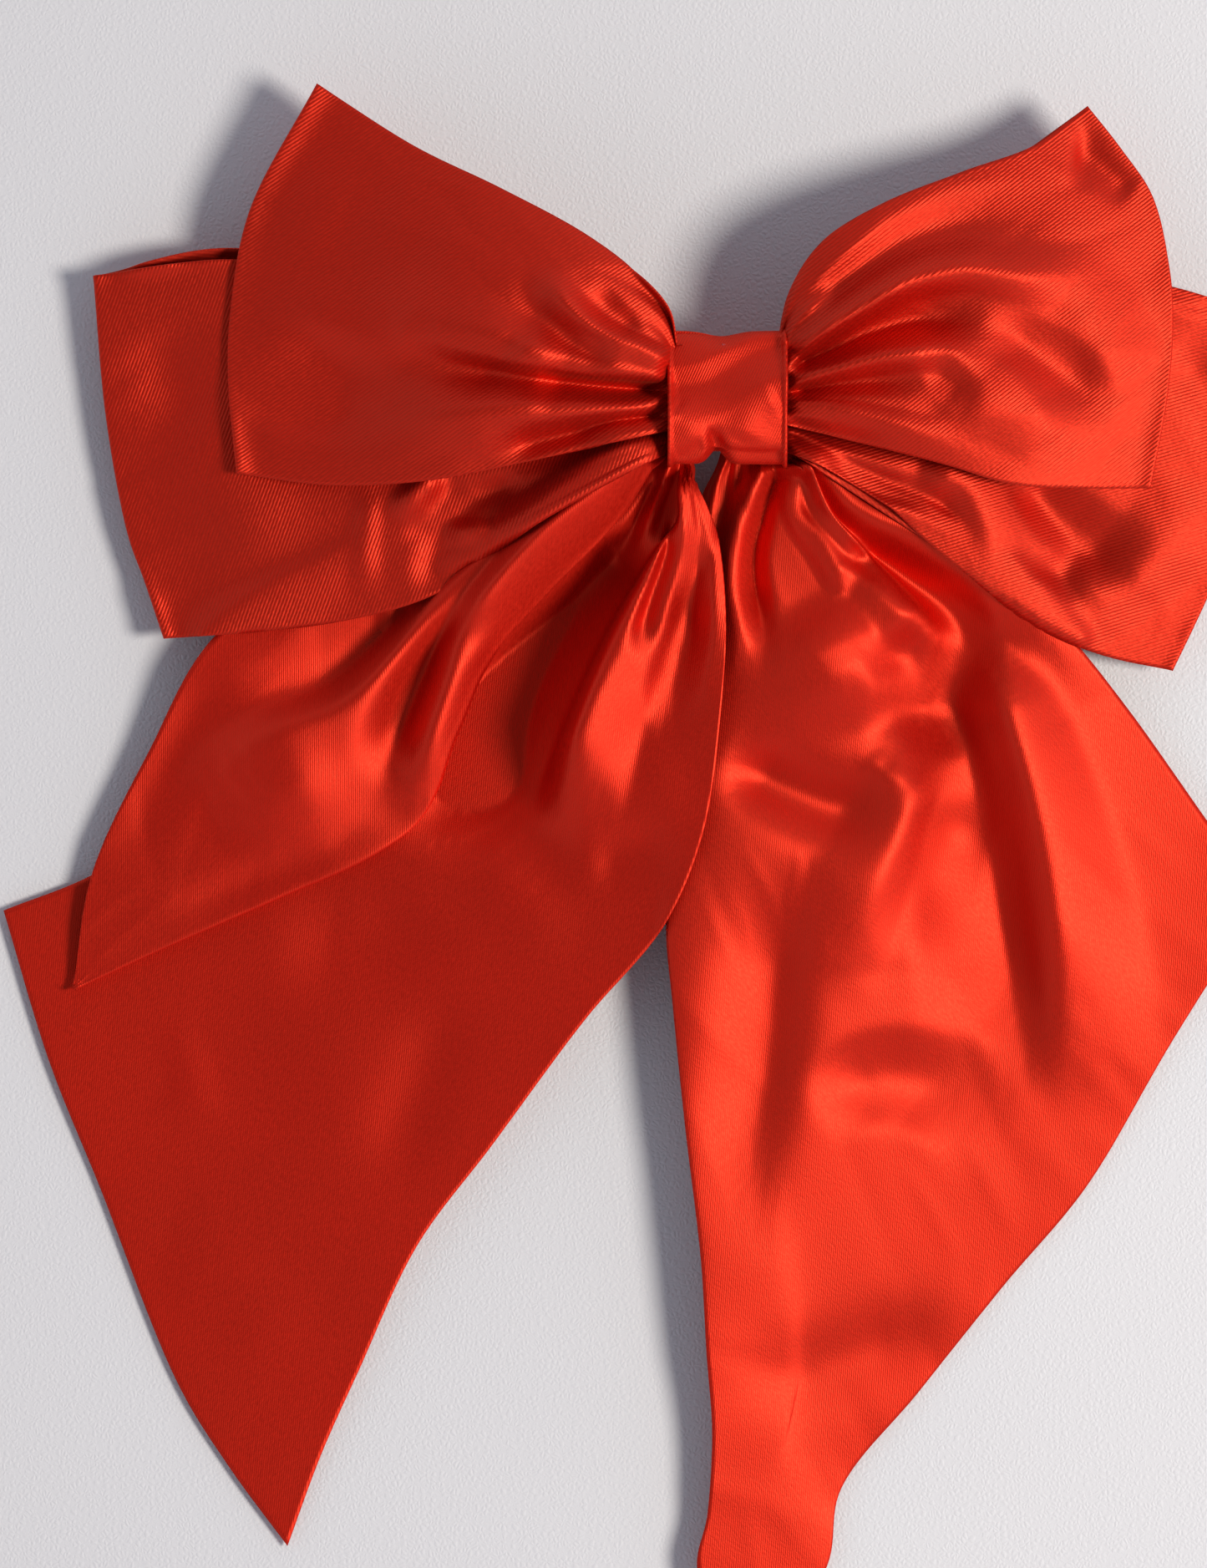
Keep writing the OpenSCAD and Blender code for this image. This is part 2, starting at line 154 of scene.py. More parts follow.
def crease(sheet, path, height, width, fade, sharp=0.4, skew=0, lean=0):
    """Raises a fold (or sinks one, with a negative height) along a path in plan.

    width is the fold's half width at the path's start and end, and fade is the share of the path
    over which it rises and dies away. A small sharp gives a crisp crest, and 0.75 or more a soft
    swell. skew makes the left side wider. lean pushes the crest sideways, so that one flank is steep.
    """
    steps = 60
    line = curve(path, steps)
    way = unit(np.gradient(line, axis=0))
    flat = sheet[..., :2].reshape(-1, 2)
    gap = ((flat[:, None, :] - line[None]) ** 2).sum(axis=2)
    near = gap.argmin(axis=1)
    off = flat - line[near]
    ahead = (off * way[near]).sum(axis=1)
    side = way[near, 0] * off[:, 1] - way[near, 1] * off[:, 0]
    far = np.hypot(side, ahead * ((near == 0) | (near == steps - 1)))
    t = near / (steps - 1.0)
    r = far / (lerp(width[0], width[1], t) * (1 + skew * np.sign(side)))
    shape = tent(r, sharp) if sharp < 0.75 else np.exp(-0.9 * r * r)
    fade_in = smooth(t / fade[0]) if fade[0] > 0 else 1.0
    fade_out = smooth((1 - t) / fade[1]) if fade[1] > 0 else 1.0
    rise = (height * shape * fade_in * fade_out).reshape(sheet.shape[:2])
    across = np.stack([-way[near, 1], way[near, 0]], axis=1).reshape(*sheet.shape[:2], 2)
    sheet[..., :2] += lean * rise[..., None] * across
    sheet[..., 2] += rise


def creases(sheet, folds):
    """Makes folds in turn; each is (path, height, width, fade, sharp, skew, lean), as in crease()."""
    for fold in folds:
        crease(sheet, *fold)


def pleats(sheet, count, height, reach, seed):
    """Gathers that run out of the knot: crisp folds of uneven width that wander and die away."""
    local = np.random.default_rng(seed)
    along, across = shares(sheet)
    total = np.zeros(sheet.shape[:2])
    for k in range(count):
        middle = (k + 0.5 + local.uniform(-0.35, 0.35)) / count
        half = local.uniform(0.3, 0.75) / count
        length = reach * local.uniform(0.4, 1.5)
        sway = local.uniform(-0.5, 0.5) / count * np.sin(local.uniform(4, 11) * along + local.uniform(0, 6))
        drift = local.uniform(-0.12, 0.12) * along
        fall = np.clip(1 - along / length, 0, 1) ** 1.5
        far = np.abs(across - middle - drift - sway) / (half * (1 + 1.5 * along))
        total += local.uniform(0.4, 1.0) * tent(far) * fall
    sheet[..., 2] += height * (total - total.mean(axis=1, keepdims=True))


def rumple(sheet, axis_deg, size, height, seed, calm=0.0):
    """Fine handling creases: short crisp lines, mostly along one direction, that come and go.

    calm is how far they die away towards the strip's free end.
    """
    local = np.random.default_rng(seed)
    x, y = sheet[..., 0], sheet[..., 1]
    total = np.zeros(x.shape)
    for k in range(14):
        turn = math.radians(axis_deg + local.normal(0, 32))
        wide = size * local.uniform(0.7, 1.8)
        along = x * math.cos(turn) + y * math.sin(turn)
        across = y * math.cos(turn) - x * math.sin(turn)
        bend = 0.6 * np.sin(along / (3.1 * wide) + local.uniform(0, 6))
        bend = bend + 0.3 * np.sin(across / (2.3 * wide) + k)
        line = 1 - np.abs(np.sin(across / wide + bend + local.uniform(0, 6)))
        patchy = np.sin(along / (2.6 * wide) + local.uniform(0, 6))
        patchy = patchy * np.sin(across / (4.1 * wide) + local.uniform(0, 6))
        total += np.clip(patchy - 0.35, 0, 1) * line**3 * local.choice([-1.0, 1.0])
    ease = 1 - calm * smooth(np.linspace(0, 2, sheet.shape[0]))[:, None]
    sheet[..., 2] += height * total * ease


def around(grid):
    """The grid moved by a cell to every side and corner, and as it is."""
    return [np.roll(grid, (right, up), (0, 1)) for right in (-1, 0, 1) for up in (-1, 0, 1)]


def height_map(*sheets):
    """The highest point of some sheets over each cell of the table, smoothed inside their outline."""
    top = np.full(MAP_CELLS, EMPTY)
    for sheet in sheets:
        between = 0.5 * (sheet[1:, 1:] + sheet[:-1, :-1])
        dense = np.concatenate([sheet.reshape(-1, 3), between.reshape(-1, 3)])
        i = np.clip((dense[:, 0] - MAP_X).astype(int), 0, MAP_CELLS[0] - 1)
        j = np.clip((dense[:, 1] - MAP_Y).astype(int), 0, MAP_CELLS[1] - 1)
        np.maximum.at(top, (i, j), dense[:, 2])
    grown = np.max(around(top), axis=0)
    inside = np.min(around(grown), axis=0) > EMPTY
    return np.where(inside, np.mean(around(grown), axis=0), grown)


def rest_on(sheet, ground, gap):
    """Lifts a sheet wherever it would pass through what lies under it."""
    x = np.clip(sheet[..., 0] - MAP_X - 0.5, 0, MAP_CELLS[0] - 2)
    y = np.clip(sheet[..., 1] - MAP_Y - 0.5, 0, MAP_CELLS[1] - 2)
    i, j = x.astype(int), y.astype(int)
    near_row = lerp(ground[i, j], ground[i + 1, j], x - i)
    far_row = lerp(ground[i, j + 1], ground[i + 1, j + 1], x - i)
    need = np.maximum(gap + lerp(near_row, far_row, y - j) - sheet[..., 2], 0)
    lifted = need.copy()
    for _ in range(10):
        soft = (lifted + np.roll(lifted, 1, 0) + np.roll(lifted, -1, 0)
                + np.roll(lifted, 1, 1) + np.roll(lifted, -1, 1)) / 5
        lifted = np.maximum(soft, need)
    sheet[..., 2] += lifted


def relax(sheet):
    """Takes the hard corners off a sheet."""
    for _ in range(2):
        mid = sheet.copy()
        mid[1:-1, 1:-1] = (sheet[:-2, 1:-1] + sheet[2:, 1:-1] + sheet[1:-1, :-2] + sheet[1:-1, 2:]) / 4
        sheet[...] = lerp(sheet, mid, 0.5)


# ------- meshes

def grid_mesh(name, sheet, uv, material, reverse=None, thickness=CLOTH_T):
    """A cloth object from a grid of points in millimetres, with UVs in millimetres of flat cloth.

    Its outward face shows the material where rows crossed with columns point outward.
    """
    rows, cols = sheet.shape[:2]
    index = np.arange(rows * cols).reshape(rows, cols)
    quads = np.stack([index[:-1, :-1], index[1:, :-1], index[1:, 1:], index[:-1, 1:]], axis=-1)
    mesh = bpy.data.meshes.new(name)
    mesh.from_pydata((sheet.reshape(-1, 3) * MM).tolist(), [], quads.reshape(-1, 4).tolist())
    layer = mesh.uv_layers.new(name=UV_NAME)
    corners = np.empty(len(mesh.loops), dtype=np.int32)
    mesh.loops.foreach_get("vertex_index", corners)
    layer.data.foreach_set("uv", (uv.reshape(-1, 2)[corners] / UV_MM).ravel().astype(np.float32))
    mesh.polygons.foreach_set("use_smooth", [True] * len(mesh.polygons))
    mesh.materials.append(material)
    if reverse is not None:
        mesh.materials.append(reverse)
    piece = bpy.data.objects.new(name, mesh)
    bpy.context.collection.objects.link(piece)
    if thickness:
        shell = piece.modifiers.new("thickness", "SOLIDIFY")
        shell.thickness = thickness * MM
        shell.offset = 0
        shell.use_even_offset = False
        shell.material_offset = 1 if reverse is not None else 0
    return piece


def cloth_uv(sheet, axis_deg):
    """Cloth coordinates in millimetres, along and across the strip's axis, which lies at axis_deg in plan.

    The gathers hide the rest of the strip's width, so the weave keeps its true pitch on what shows.
    """
    turn = math.radians(axis_deg)
    along = sheet[..., 0] * math.cos(turn) + sheet[..., 1] * math.sin(turn)
    across = -sheet[..., 0] * math.sin(turn) + sheet[..., 1] * math.cos(turn)
    return np.stack([along, across], axis=-1)


def loop_uv(strip, left_deg, right_deg):
    """The same for a loop strip, whose two sides lie at different angles."""
    share = smooth(strip[..., 0] / 16 + 0.5)[..., None]
    return lerp(cloth_uv(strip, left_deg), cloth_uv(strip, right_deg), share)


# ------- materials

class Recipe:
    """A new material, with short ways to add nodes. A value is a constant or another node's output."""

    def __init__(self, name):
        self.material = bpy.data.materials.new(name)
        self.material.use_nodes = True
        self.nodes = self.material.node_tree.nodes
        self.links = self.material.node_tree.links
        self.shader = self.nodes["Principled BSDF"]

    def feed(self, socket, value):
        if isinstance(value, bpy.types.NodeSocket):
            self.links.new(value, socket)
        else:
            socket.default_value = value

    def fill(self, node, values):
        for name, value in values.items():
            self.feed(node.inputs[name], value)
        return node

    def surface(self, values):
        """Sets the shader's own inputs."""
        self.fill(self.shader, values)
        return self.material

    def place(self):
        return self.nodes.new("ShaderNodeTexCoord").outputs["Object"]

    def cloth_place(self):
        node = self.nodes.new("ShaderNodeUVMap")
        node.uv_map = UV_NAME
        return node.outputs["UV"]

    def scaled(self, vector, scale, turn=(0, 0, 0)):
        node = self.nodes.new("ShaderNodeMapping")
        return self.fill(node, {"Vector": vector, "Rotation": turn, "Scale": scale}).outputs["Vector"]

    def noise(self, vector, scale, detail, roughness=0.5):
        node = self.nodes.new("ShaderNodeTexNoise")
        values = {"Vector": vector, "Scale": scale, "Detail": detail, "Roughness": roughness}
        return self.fill(node, values).outputs["Fac"]

    def maths(self, kind, *values):
        node = self.nodes.new("ShaderNodeMath")
        node.operation = kind
        for socket, value in zip(node.inputs, values):
            self.feed(socket, value)
        return node.outputs[0]

    def times_plus(self, a, factor, b):
        """a times factor, plus b."""
        return self.maths("ADD", self.maths("MULTIPLY", a, factor), b)

    def colour(self, share, dark, light):
        """The base colour, between dark and light."""
        node = self.nodes.new("ShaderNodeMix")
        node.data_type = "RGBA"
        self.fill(node, {"Factor": share, "A": (*dark, 1), "B": (*light, 1)})
        self.surface({"Base Color": node.outputs["Result"]})

    def bump(self, height, strength, distance_mm):
        node = self.nodes.new("ShaderNodeBump")
        self.fill(node, {"Height": height, "Strength": strength, "Distance": distance_mm * MM})
        self.surface({"Normal": node.outputs["Normal"]})


def satin(name, light, dark, roughness, sheen, gloss=0.15, twill=0.6, depth=1.0, angle=44.0):
    """Twill-backed satin: fine diagonal ribs, a crosswise grain, uneven dye and a warm sheen.

    twill is the ribs' pitch in millimetres, angle their direction and depth how strongly they show.
    """
    recipe = Recipe(name)
    maths = recipe.maths
    place = recipe.cloth_place()
    split = recipe.nodes.new("ShaderNodeSeparateXYZ")
    recipe.links.new(place, split.inputs[0])
    # Slight wander, so the ribs aren't ruled lines
    bend = maths("MULTIPLY", recipe.noise(place, 14.0, 2.0), 1.6)
    turn = math.radians(angle)
    along = maths("MULTIPLY", split.outputs["X"], -math.sin(turn) * UV_MM)
    across = maths("MULTIPLY", split.outputs["Y"], math.cos(turn) * UV_MM)
    line = maths("ADD", along, across)
    rib = maths("SINE", recipe.times_plus(line, 2 * math.pi / twill, bend))
    rib = maths("MULTIPLY_ADD", rib, 0.5, 0.5)
    # Yarns that cross the ribs
    yarn = recipe.noise(recipe.scaled(place, (110.0, 240.0, 1.0)), 1.0, 3.0)
    # Uneven dye and light wear
    dye = recipe.noise(place, 3.2, 6.0, 0.62)
    tone = maths("ADD", maths("MULTIPLY", rib, 0.34 * depth), maths("MULTIPLY", yarn, 0.40))
    tone = maths("ADD", tone, maths("MULTIPLY", dye, 0.50 - 0.2 * depth))
    recipe.colour(tone, dark, light)
    recipe.bump(recipe.times_plus(yarn, 1.8, rib), 0.4 * depth, 0.12)
    tangent = recipe.nodes.new("ShaderNodeTangent")
    tangent.direction_type = "UV_MAP"
    tangent.uv_map = UV_NAME
    return recipe.surface({
        "Roughness": recipe.times_plus(yarn, 0.24, roughness - 0.12),
        "Metallic": 0.64,
        "IOR": 1.7,
        "Specular IOR Level": 1.0,
        "Specular Tint": (1.0, 0.56, 0.24, 1),
        "Sheen Weight": sheen,
        "Sheen Roughness": 0.35,
        "Sheen Tint": (1.0, 0.22, 0.10, 1),
        "Anisotropic": gloss,
        "Anisotropic Rotation": 0.08,
        "Tangent": tangent.outputs["Tangent"],
    })


def metal(name, light, roughness, brushed, along):
    """Plated or brushed steel with fine drawn lines and smudges."""
    recipe = Recipe(name)
    place = recipe.place()
    lines = recipe.noise(recipe.scaled(place, along), 900.0, 4.0)
    smudge = recipe.noise(place, 160.0, 5.0)
    recipe.colour(smudge, [c * 0.72 for c in light], light)
    recipe.bump(lines, brushed, 0.03)
    return recipe.surface({"Roughness": recipe.times_plus(smudge, 0.16, roughness), "Metallic": 1.0})


def table_leather():
    """Pale leather grain; the table top has one face, so that the clip can be seen from below."""
    recipe = Recipe("table_leather")
    nodes, links = recipe.nodes, recipe.links
    place = recipe.place()
    wander = recipe.noise(place, 260.0, 3.0).node.outputs["Color"]
    shift = nodes.new("ShaderNodeMix")
    shift.data_type = "VECTOR"
    recipe.fill(shift, {"Factor": 0.0016, "A": place, "B": wander})
    grain = nodes.new("ShaderNodeTexVoronoi")
    grain.feature = "DISTANCE_TO_EDGE"
    recipe.fill(grain, {"Scale": 1150.0, "Vector": shift.outputs["Result"]})
    furrow = nodes.new("ShaderNodeMapRange")
    furrow.interpolation_type = "SMOOTHSTEP"
    recipe.fill(furrow, {"From Max": 0.42, "Value": grain.outputs["Distance"]})
    relief = recipe.times_plus(recipe.noise(place, 1500.0, 3.0), 0.8, furrow.outputs["Result"])
    recipe.bump(relief, 0.34, 0.13)
    recipe.colour(recipe.noise(place, 9.0, 2.0), (0.655, 0.645, 0.65), (0.70, 0.69, 0.685))
    face = nodes.new("ShaderNodeNewGeometry")
    clear = nodes.new("ShaderNodeBsdfTransparent")
    either = nodes.new("ShaderNodeMixShader")
    links.new(face.outputs["Backfacing"], either.inputs["Fac"])
    links.new(recipe.shader.outputs["BSDF"], either.inputs[1])
    links.new(clear.outputs["BSDF"], either.inputs[2])
    links.new(either.outputs["Shader"], nodes["Material Output"].inputs["Surface"])
    return recipe.surface({"Roughness": 0.55, "Specular IOR Level": 0.3})


def sewing_thread():
    """Polyester sewing thread: twisted filaments with a slight lustre."""
    recipe = Recipe("red_thread")
    strands = recipe.scaled(recipe.cloth_place(), (60.0, 1400.0, 1.0), (0, 0, 0.6))
    fibre = recipe.noise(strands, 1.0, 4.0)
    recipe.colour(fibre, (0.26, 0.004, 0.004), (0.60, 0.020, 0.014))
    recipe.bump(fibre, 0.6, 0.05)
    return recipe.surface({"Roughness": 0.5, "Sheen Weight": 0.2})


def hot_glue():
    """Clear-amber hot glue with fine bubbles and a waxy skin."""
    recipe = Recipe("hot_glue")
    place = recipe.place()
    cloud = recipe.noise(place, 240.0, 4.0)
    bubbles = recipe.fill(recipe.nodes.new("ShaderNodeTexVoronoi"), {"Scale": 1400.0, "Vector": place})
    recipe.colour(cloud, (0.55, 0.47, 0.33), (0.78, 0.72, 0.58))
    recipe.bump(bubbles.outputs["Distance"], 0.4, 0.06)
    return recipe.surface({
        "Roughness": recipe.times_plus(cloud, 0.25, 0.22),
        "Subsurface Weight": 0.15,
        "Subsurface Scale": 0.001,
    })


RED = (0.78, 0.003, 0.002)
DEEP_RED = (0.38, 0.0008, 0.0006)
# The loops' two reds are darker than the tails' reds, though it is one ribbon: painted shade on the loops.
LOOP_RED_WITH_PAINTED_SHADE = (0.70, 0.0025, 0.0018)
DEEP_LOOP_RED_WITH_PAINTED_SHADE = (0.30, 0.0006, 0.0005)
SATIN = satin("red_satin", LOOP_RED_WITH_PAINTED_SHADE, DEEP_LOOP_RED_WITH_PAINTED_SHADE, 0.53, 0.03, twill=0.56, angle=30.0)
TAIL_WEAVE = {"gloss": 0.4, "twill": 0.36, "depth": 0.45}
RIGHT_SATIN = satin("red_satin_right_tail", RED, DEEP_RED, 0.54, 0.03, angle=138.0, **TAIL_WEAVE)
LEFT_SATIN = satin("red_satin_left_tail", RED, DEEP_RED, 0.54, 0.03, angle=28.0, **TAIL_WEAVE)
KNOT_SATIN = satin("red_satin_knot", RED, DEEP_RED, 0.56, 0.04, twill=0.42, angle=68.0)
DULL_RED = (0.68, 0.012, 0.007)
DEEP_DULL_RED = (0.36, 0.004, 0.003)
REVERSE = satin("red_satin_reverse", DULL_RED, DEEP_DULL_RED, 0.60, 0.12, depth=0.7, angle=-44.0)
PLATED = metal("nickel_plate", (0.80, 0.79, 0.77), 0.12, 0.10, (1.0, 5.0, 5.0))
STEEL = metal("brushed_steel", (0.66, 0.66, 0.67), 0.26, 0.5, (0.15, 5.0, 5.0))
THREAD = sewing_thread()
GLUE = hot_glue()


# ------- loops: each is (back layer, front layer), and both run from the knot to the loop's fold

def loop_strip(left, right):
    """One closed strip: out along the left back, round its fold, in along the left front,
    across the knot, and the same way round on the right. Each side is (back, front)."""
    fold_r = 0.4
    knot_rows = 12
    parts = []
    for side, (back, front) in enumerate((left, right)):
        outward = front[-1] - front[-4]
        outward[:, 2] = 0
        outward = unit(outward)
        middle = 0.5 * (front[-1] + back[-1])
        rise = 0.5 * (front[-1, :, 2] - back[-1, :, 2])
        bend = [
            middle + outward * fold_r * math.cos(math.pi * t)
            + np.stack([0 * rise, 0 * rise, rise * math.sin(math.pi * t)], axis=1)
            for t in np.linspace(-0.5, 0.5, 7)[1:-1]
        ]
        rows = np.concatenate([back, np.array(bend), front[::-1]])
        parts.append(rows if side == 0 else rows[::-1])
    middle = np.array([lerp(left[1][0], right[1][0], t) for t in np.linspace(0, 1, knot_rows + 2)[1:-1]])
    return np.concatenate([parts[0], middle, parts[1]])


def layer(low_edge, high_edge, fold, swell, drop=0):
    """One layer of a loop, filled out by swell between the knot and the fold, less at its open edges."""
    sheet = patch(low_edge, high_edge, fold, LOOP_GRID)
    sheet[..., 2] -= drop
    along, across = shares(sheet)
    sheet[..., 2] += swell * np.sin(math.pi * along**0.8) * (1 - 0.75 * np.abs(2 * across - 1) ** 2.2)
    return sheet


def upper_left():
    fold = [(-82.7, -12.9, 10.6), (-84.2, 3, 9.8), (-83.9, 14, 9.6), (-80.6, 31.4, 9.8),
            (-69.1, 53.1, 10.2)]
    front = layer(
        [(-8.5, -5.7, 20), (-20, -8.2, 20.6), (-33, -11, 20.2), (-50, -14.2, 17.6), (-67, -14.9, 13.4),
         fold[0]],
        [(-8.5, 8.6, 17.4), (-9.9, 14.6, 19.2), (-15.6, 20.9, 19.8), (-24.1, 27.3, 19.2),
         (-38.4, 35.2, 16.8), (-52.7, 42.4, 13.6), fold[-1]],
        fold, 6.2,
    )
    pleats(front, 9, 1.8, 0.40, 3)
    creases(front, [
        # The rib that hooks over above the knot, with a shadowed hollow on either side
        ([(-9.5, 6), (-15, 8), (-20.7, 10), (-25.5, 13.4), (-29.2, 18), (-29.4, 22)],
         3.8, (1.2, 3), (0.05, 0.25), 0.25, 0.1),
        ([(-14, 10.5), (-19, 13), (-24, 18)], -1.5, (1.5, 2.4), (0.3, 0.4), 0.5),
        ([(-18, 6.6), (-25, 8.6), (-32, 13.4), (-37, 20)], -2, (1.4, 4.4), (0.2, 0.5), 0.5),
        # The long dark fold across the middle of the loop, and the crests above and below it
        ([(-9.5, 3.4), (-20, 4.4), (-32, 6.2), (-46, 9.5), (-64, 14.5)],
         3.2, (1.3, 6), (0.05, 0.5), 0.2, -0.4, 0.4),
        ([(-9.5, 1), (-20, 1.2), (-31, 2.4), (-44, 4.5), (-58, 6), (-76, 6)],
         -5.6, (1.3, 8), (0.06, 0.75), 0.3, 0.1),
        ([(-9.5, -0.6), (-20, -1.2), (-34, -1.6), (-48, -2.6), (-60, -4), (-69, -6)],
         3, (1.2, 6), (0.05, 0.45), 0.3, 0.1),
        ([(-9.5, -3.6), (-22, -5.4), (-34, -8.2), (-47, -12.4)], -2.8, (1, 2.6), (0.08, 0.4), 0.3),
        ([(-33, -8), (-40, -8.4), (-47, -6)], 1.2, (1.8, 2.4), (0.3, 0.5)),
        ([(-51, 17), (-54.6, 11), (-53.6, 5)], 0.3, (1.4, 1.8), (0.4, 0.5), 0.35),
        ([(-28, 3), (-34, 5), (-38, 8)], 2, (6, 7), (0.4, 0.4), 1),
        ([(-72, -9), (-70, 2), (-65, 13)], -3.4, (10, 10), (0.35, 0.35), 1, -0.25),
        ([(-75, 34), (-64, 30), (-50, 25)], 1, (5, 6), (0.35, 0.4), 1),
        # Broad soft hollows of the flat part
        ([(-72, 36), (-60, 24), (-46, 24)], -1.6, (9, 8), (0.4, 0.5), 1),
        ([(-78, -6), (-62, -3), (-44, -4)], -1.3, (5, 6), (0.4, 0.5), 1),
        ([(-76, 20), (-70, 6), (-66, -9)], 0.8, (7, 7), (0.4, 0.4), 1),
    ])
    rumple(front, -14, 3.6, 0.30, 5)
    back = layer(
        [(-8.5, -5.5, 17.2), (-30, -9, 15), (-60, -12.2, 11.6), fold[0]],
        [(-8.5, 8, 15.6), (-22, 19, 15), (-46, 36, 12), fold[-1]],
        fold, -0.6, BACK_DROP,
    )
    return back, front


def upper_right():
    fold = [(71.3, -15.4, 12.6), (74.2, 0, 12.2), (75.2, 12, 12), (74.6, 22, 11.6), (71.8, 34, 11.2),
            (66.5, 42, 11), (60.8, 49.2, 11.2)]
    front = layer(
        [(8.5, -4.6, 20), (23, -8.1, 20.6), (37.3, -11.9, 20.2), (48, -14.9, 19.2), (60, -15.5, 15.8),
         fold[0]],
        [(8.5, 8.8, 17.4), (10.6, 17.8, 19), (15.9, 25.9, 19.4), (25.9, 32.3, 18.8), (40.1, 38.1, 16.6),
         (52, 42.6, 14.4), fold[-1]],
        fold, 4.4,
    )
    pleats(front, 11, 2.6, 0.38, 8)
    creases(front, [
        # The crest that climbs from the knot and runs on as a bright line to the outer fold
        ([(9.5, 7), (14, 11), (21.3, 15.4), (29.7, 20.4), (40, 22.8), (52, 21.5), (66, 21.2)],
         3.8, (1.3, 4.5), (0.05, 0.3), 0.22, -0.25, -0.4),
        ([(13, 14), (22, 21), (31, 26.5), (42, 29.5), (58, 29)], -2.6, (1.4, 5), (0.15, 0.45)),
        ([(10, 5), (17, 7.8), (26.3, 11.6), (36, 13.2), (48, 11)],
         -4.4, (1.2, 4.6), (0.08, 0.4), 0.3, 0.1),
        ([(9.5, 2.4), (17, 4.6), (26.3, 7), (36, 7.6), (46, 5)],
         2.8, (1.2, 3.6), (0.05, 0.4), 0.25, 0, -0.3),
        ([(10, 0.4), (20, 2.2), (30, 2.4), (38, 0.4)], -2.2, (1, 2.8), (0.1, 0.5), 0.35),
        ([(9.5, -2.2), (20, -3.6), (33, -7), (46, -11)], 2, (1, 3.6), (0.05, 0.5), 0.3, 0, 0.3),
        ([(10, -4), (19, -6.8), (28, -9.4)], -1.6, (0.8, 1.8), (0.1, 0.4), 0.3),
        ([(42, 12), (51, 8.5), (58.5, 1.5), (61, -7)], -2.6, (2.6, 4.4), (0.3, 0.4), 0.5),
        ([(34, -1), (46, -1), (56, -6), (60, -12)], 1.9, (4, 5), (0.3, 0.4), 0.6),
        ([(56, 17), (63, 11), (67, 0)], 1, (4, 4), (0.3, 0.4), 0.7, 0.3),
        ([(33, 9), (37, 3), (44, -3)], -1.3, (1.8, 2.6), (0.3, 0.5), 0.45),
        # The open corner at the top dips, so that the inside of the back layer shows
        ([(58, 41), (64, 40), (70, 36)], -2.2, (3, 3), (0.2, 0.2), 0.7),
    ])
    rumple(front, 13, 3.6, 0.30, 11)
    back = layer(
        [(8.5, -4.4, 17.2), (30, -9, 15.6), (55, -13, 13.8), fold[0]],
        [(8.5, 8.2, 15.6), (20, 24, 14.8), (42, 36, 12.6), fold[-1]],
        fold, -0.6, BACK_DROP,
    )
    return back, front


def lower_left():
    fold = [(-95.3, -40.7, 5.2), (-98.6, -31, 4.6), (-101.5, -22.9, 4.6), (-105.2, -2.9, 5),
            (-107.3, 21.1, 6.2)]
    front = layer(
        [(-8.5, -9.3, 15.6), (-22, -16.5, 15.2), (-34, -23.4, 14), (-50, -33.6, 11.6), (-64, -37.6, 9.2),
         (-81.3, -39.8, 6.8), fold[0]],
        [(-8.5, 8, 15.6), (-30, 14, 14.2), (-58, 20, 11.4), (-83.4, 23.6, 8.8), fold[-1]],
        fold, 1.6,
    )
    pleats(front, 11, 2.2, 0.34, 21)
    creases(front, [
        ([(-9, -5), (-20, -9.5), (-31, -13), (-41, -13.6)], 2.2, (1.2, 3.4), (0.05, 0.45), 0.3, 0.2),
        ([(-10, -8), (-20, -12.5), (-30, -17.5), (-38, -22)], -3, (1, 2.4), (0.06, 0.4), 0.3),
        ([(-9, -8.6), (-20, -14.6), (-29, -19.6), (-37, -24.4), (-42, -27)],
         3.2, (1, 2.4), (0.05, 0.35), 0.22, 0.1, -0.2),
        ([(-13, -11.5), (-24, -18.4), (-34, -25.5), (-44, -32)], -2.6, (0.9, 2.6), (0.08, 0.4), 0.3),
        # Two lit dents with dark pools beside them
        ([(-48, -12), (-53, -16), (-56, -21.5)], 2.8, (2, 3), (0.3, 0.4), 0.35, 0.4),
        ([(-43, -15), (-48, -20), (-51, -27)], -3.4, (2.6, 3.4), (0.3, 0.4), 0.45),
        ([(-39, -22), (-44, -22.6), (-49, -22)], 2.4, (1.4, 1.8), (0.3, 0.4), 0.3, 0.2),
        ([(-40, -26), (-46, -28), (-54, -29)], -2.4, (1.8, 3), (0.25, 0.4), 0.45),
        ([(-34, -14), (-42, -16.4), (-47, -15)], -1.6, (1.6, 2.4), (0.3, 0.4)),
        ([(-60.5, -14), (-61.5, -25), (-61.5, -35)], 1, (1.6, 2), (0.3, 0.4), 0.35),
        ([(-90, 2), (-84, -16), (-74, -32)], 1.5, (8, 8), (0.4, 0.4), 1),
        ([(-98, 14), (-94, 2), (-92, -8)], -1.2, (5, 6), (0.4, 0.4), 1),
    ])
    rumple(front, 22, 3.4, 0.28, 23)
    back = layer(
        [(-8.5, -8.5, 13.8), (-34, -21.5, 11.6), (-64, -35.5, 7.2), fold[0]],
        [(-8.5, 7, 13.8), (-50, 17.5, 10.6), (-84, 25.6, 6.6), fold[-1]],
        fold, 0, BACK_DROP,
    )
    return back, front


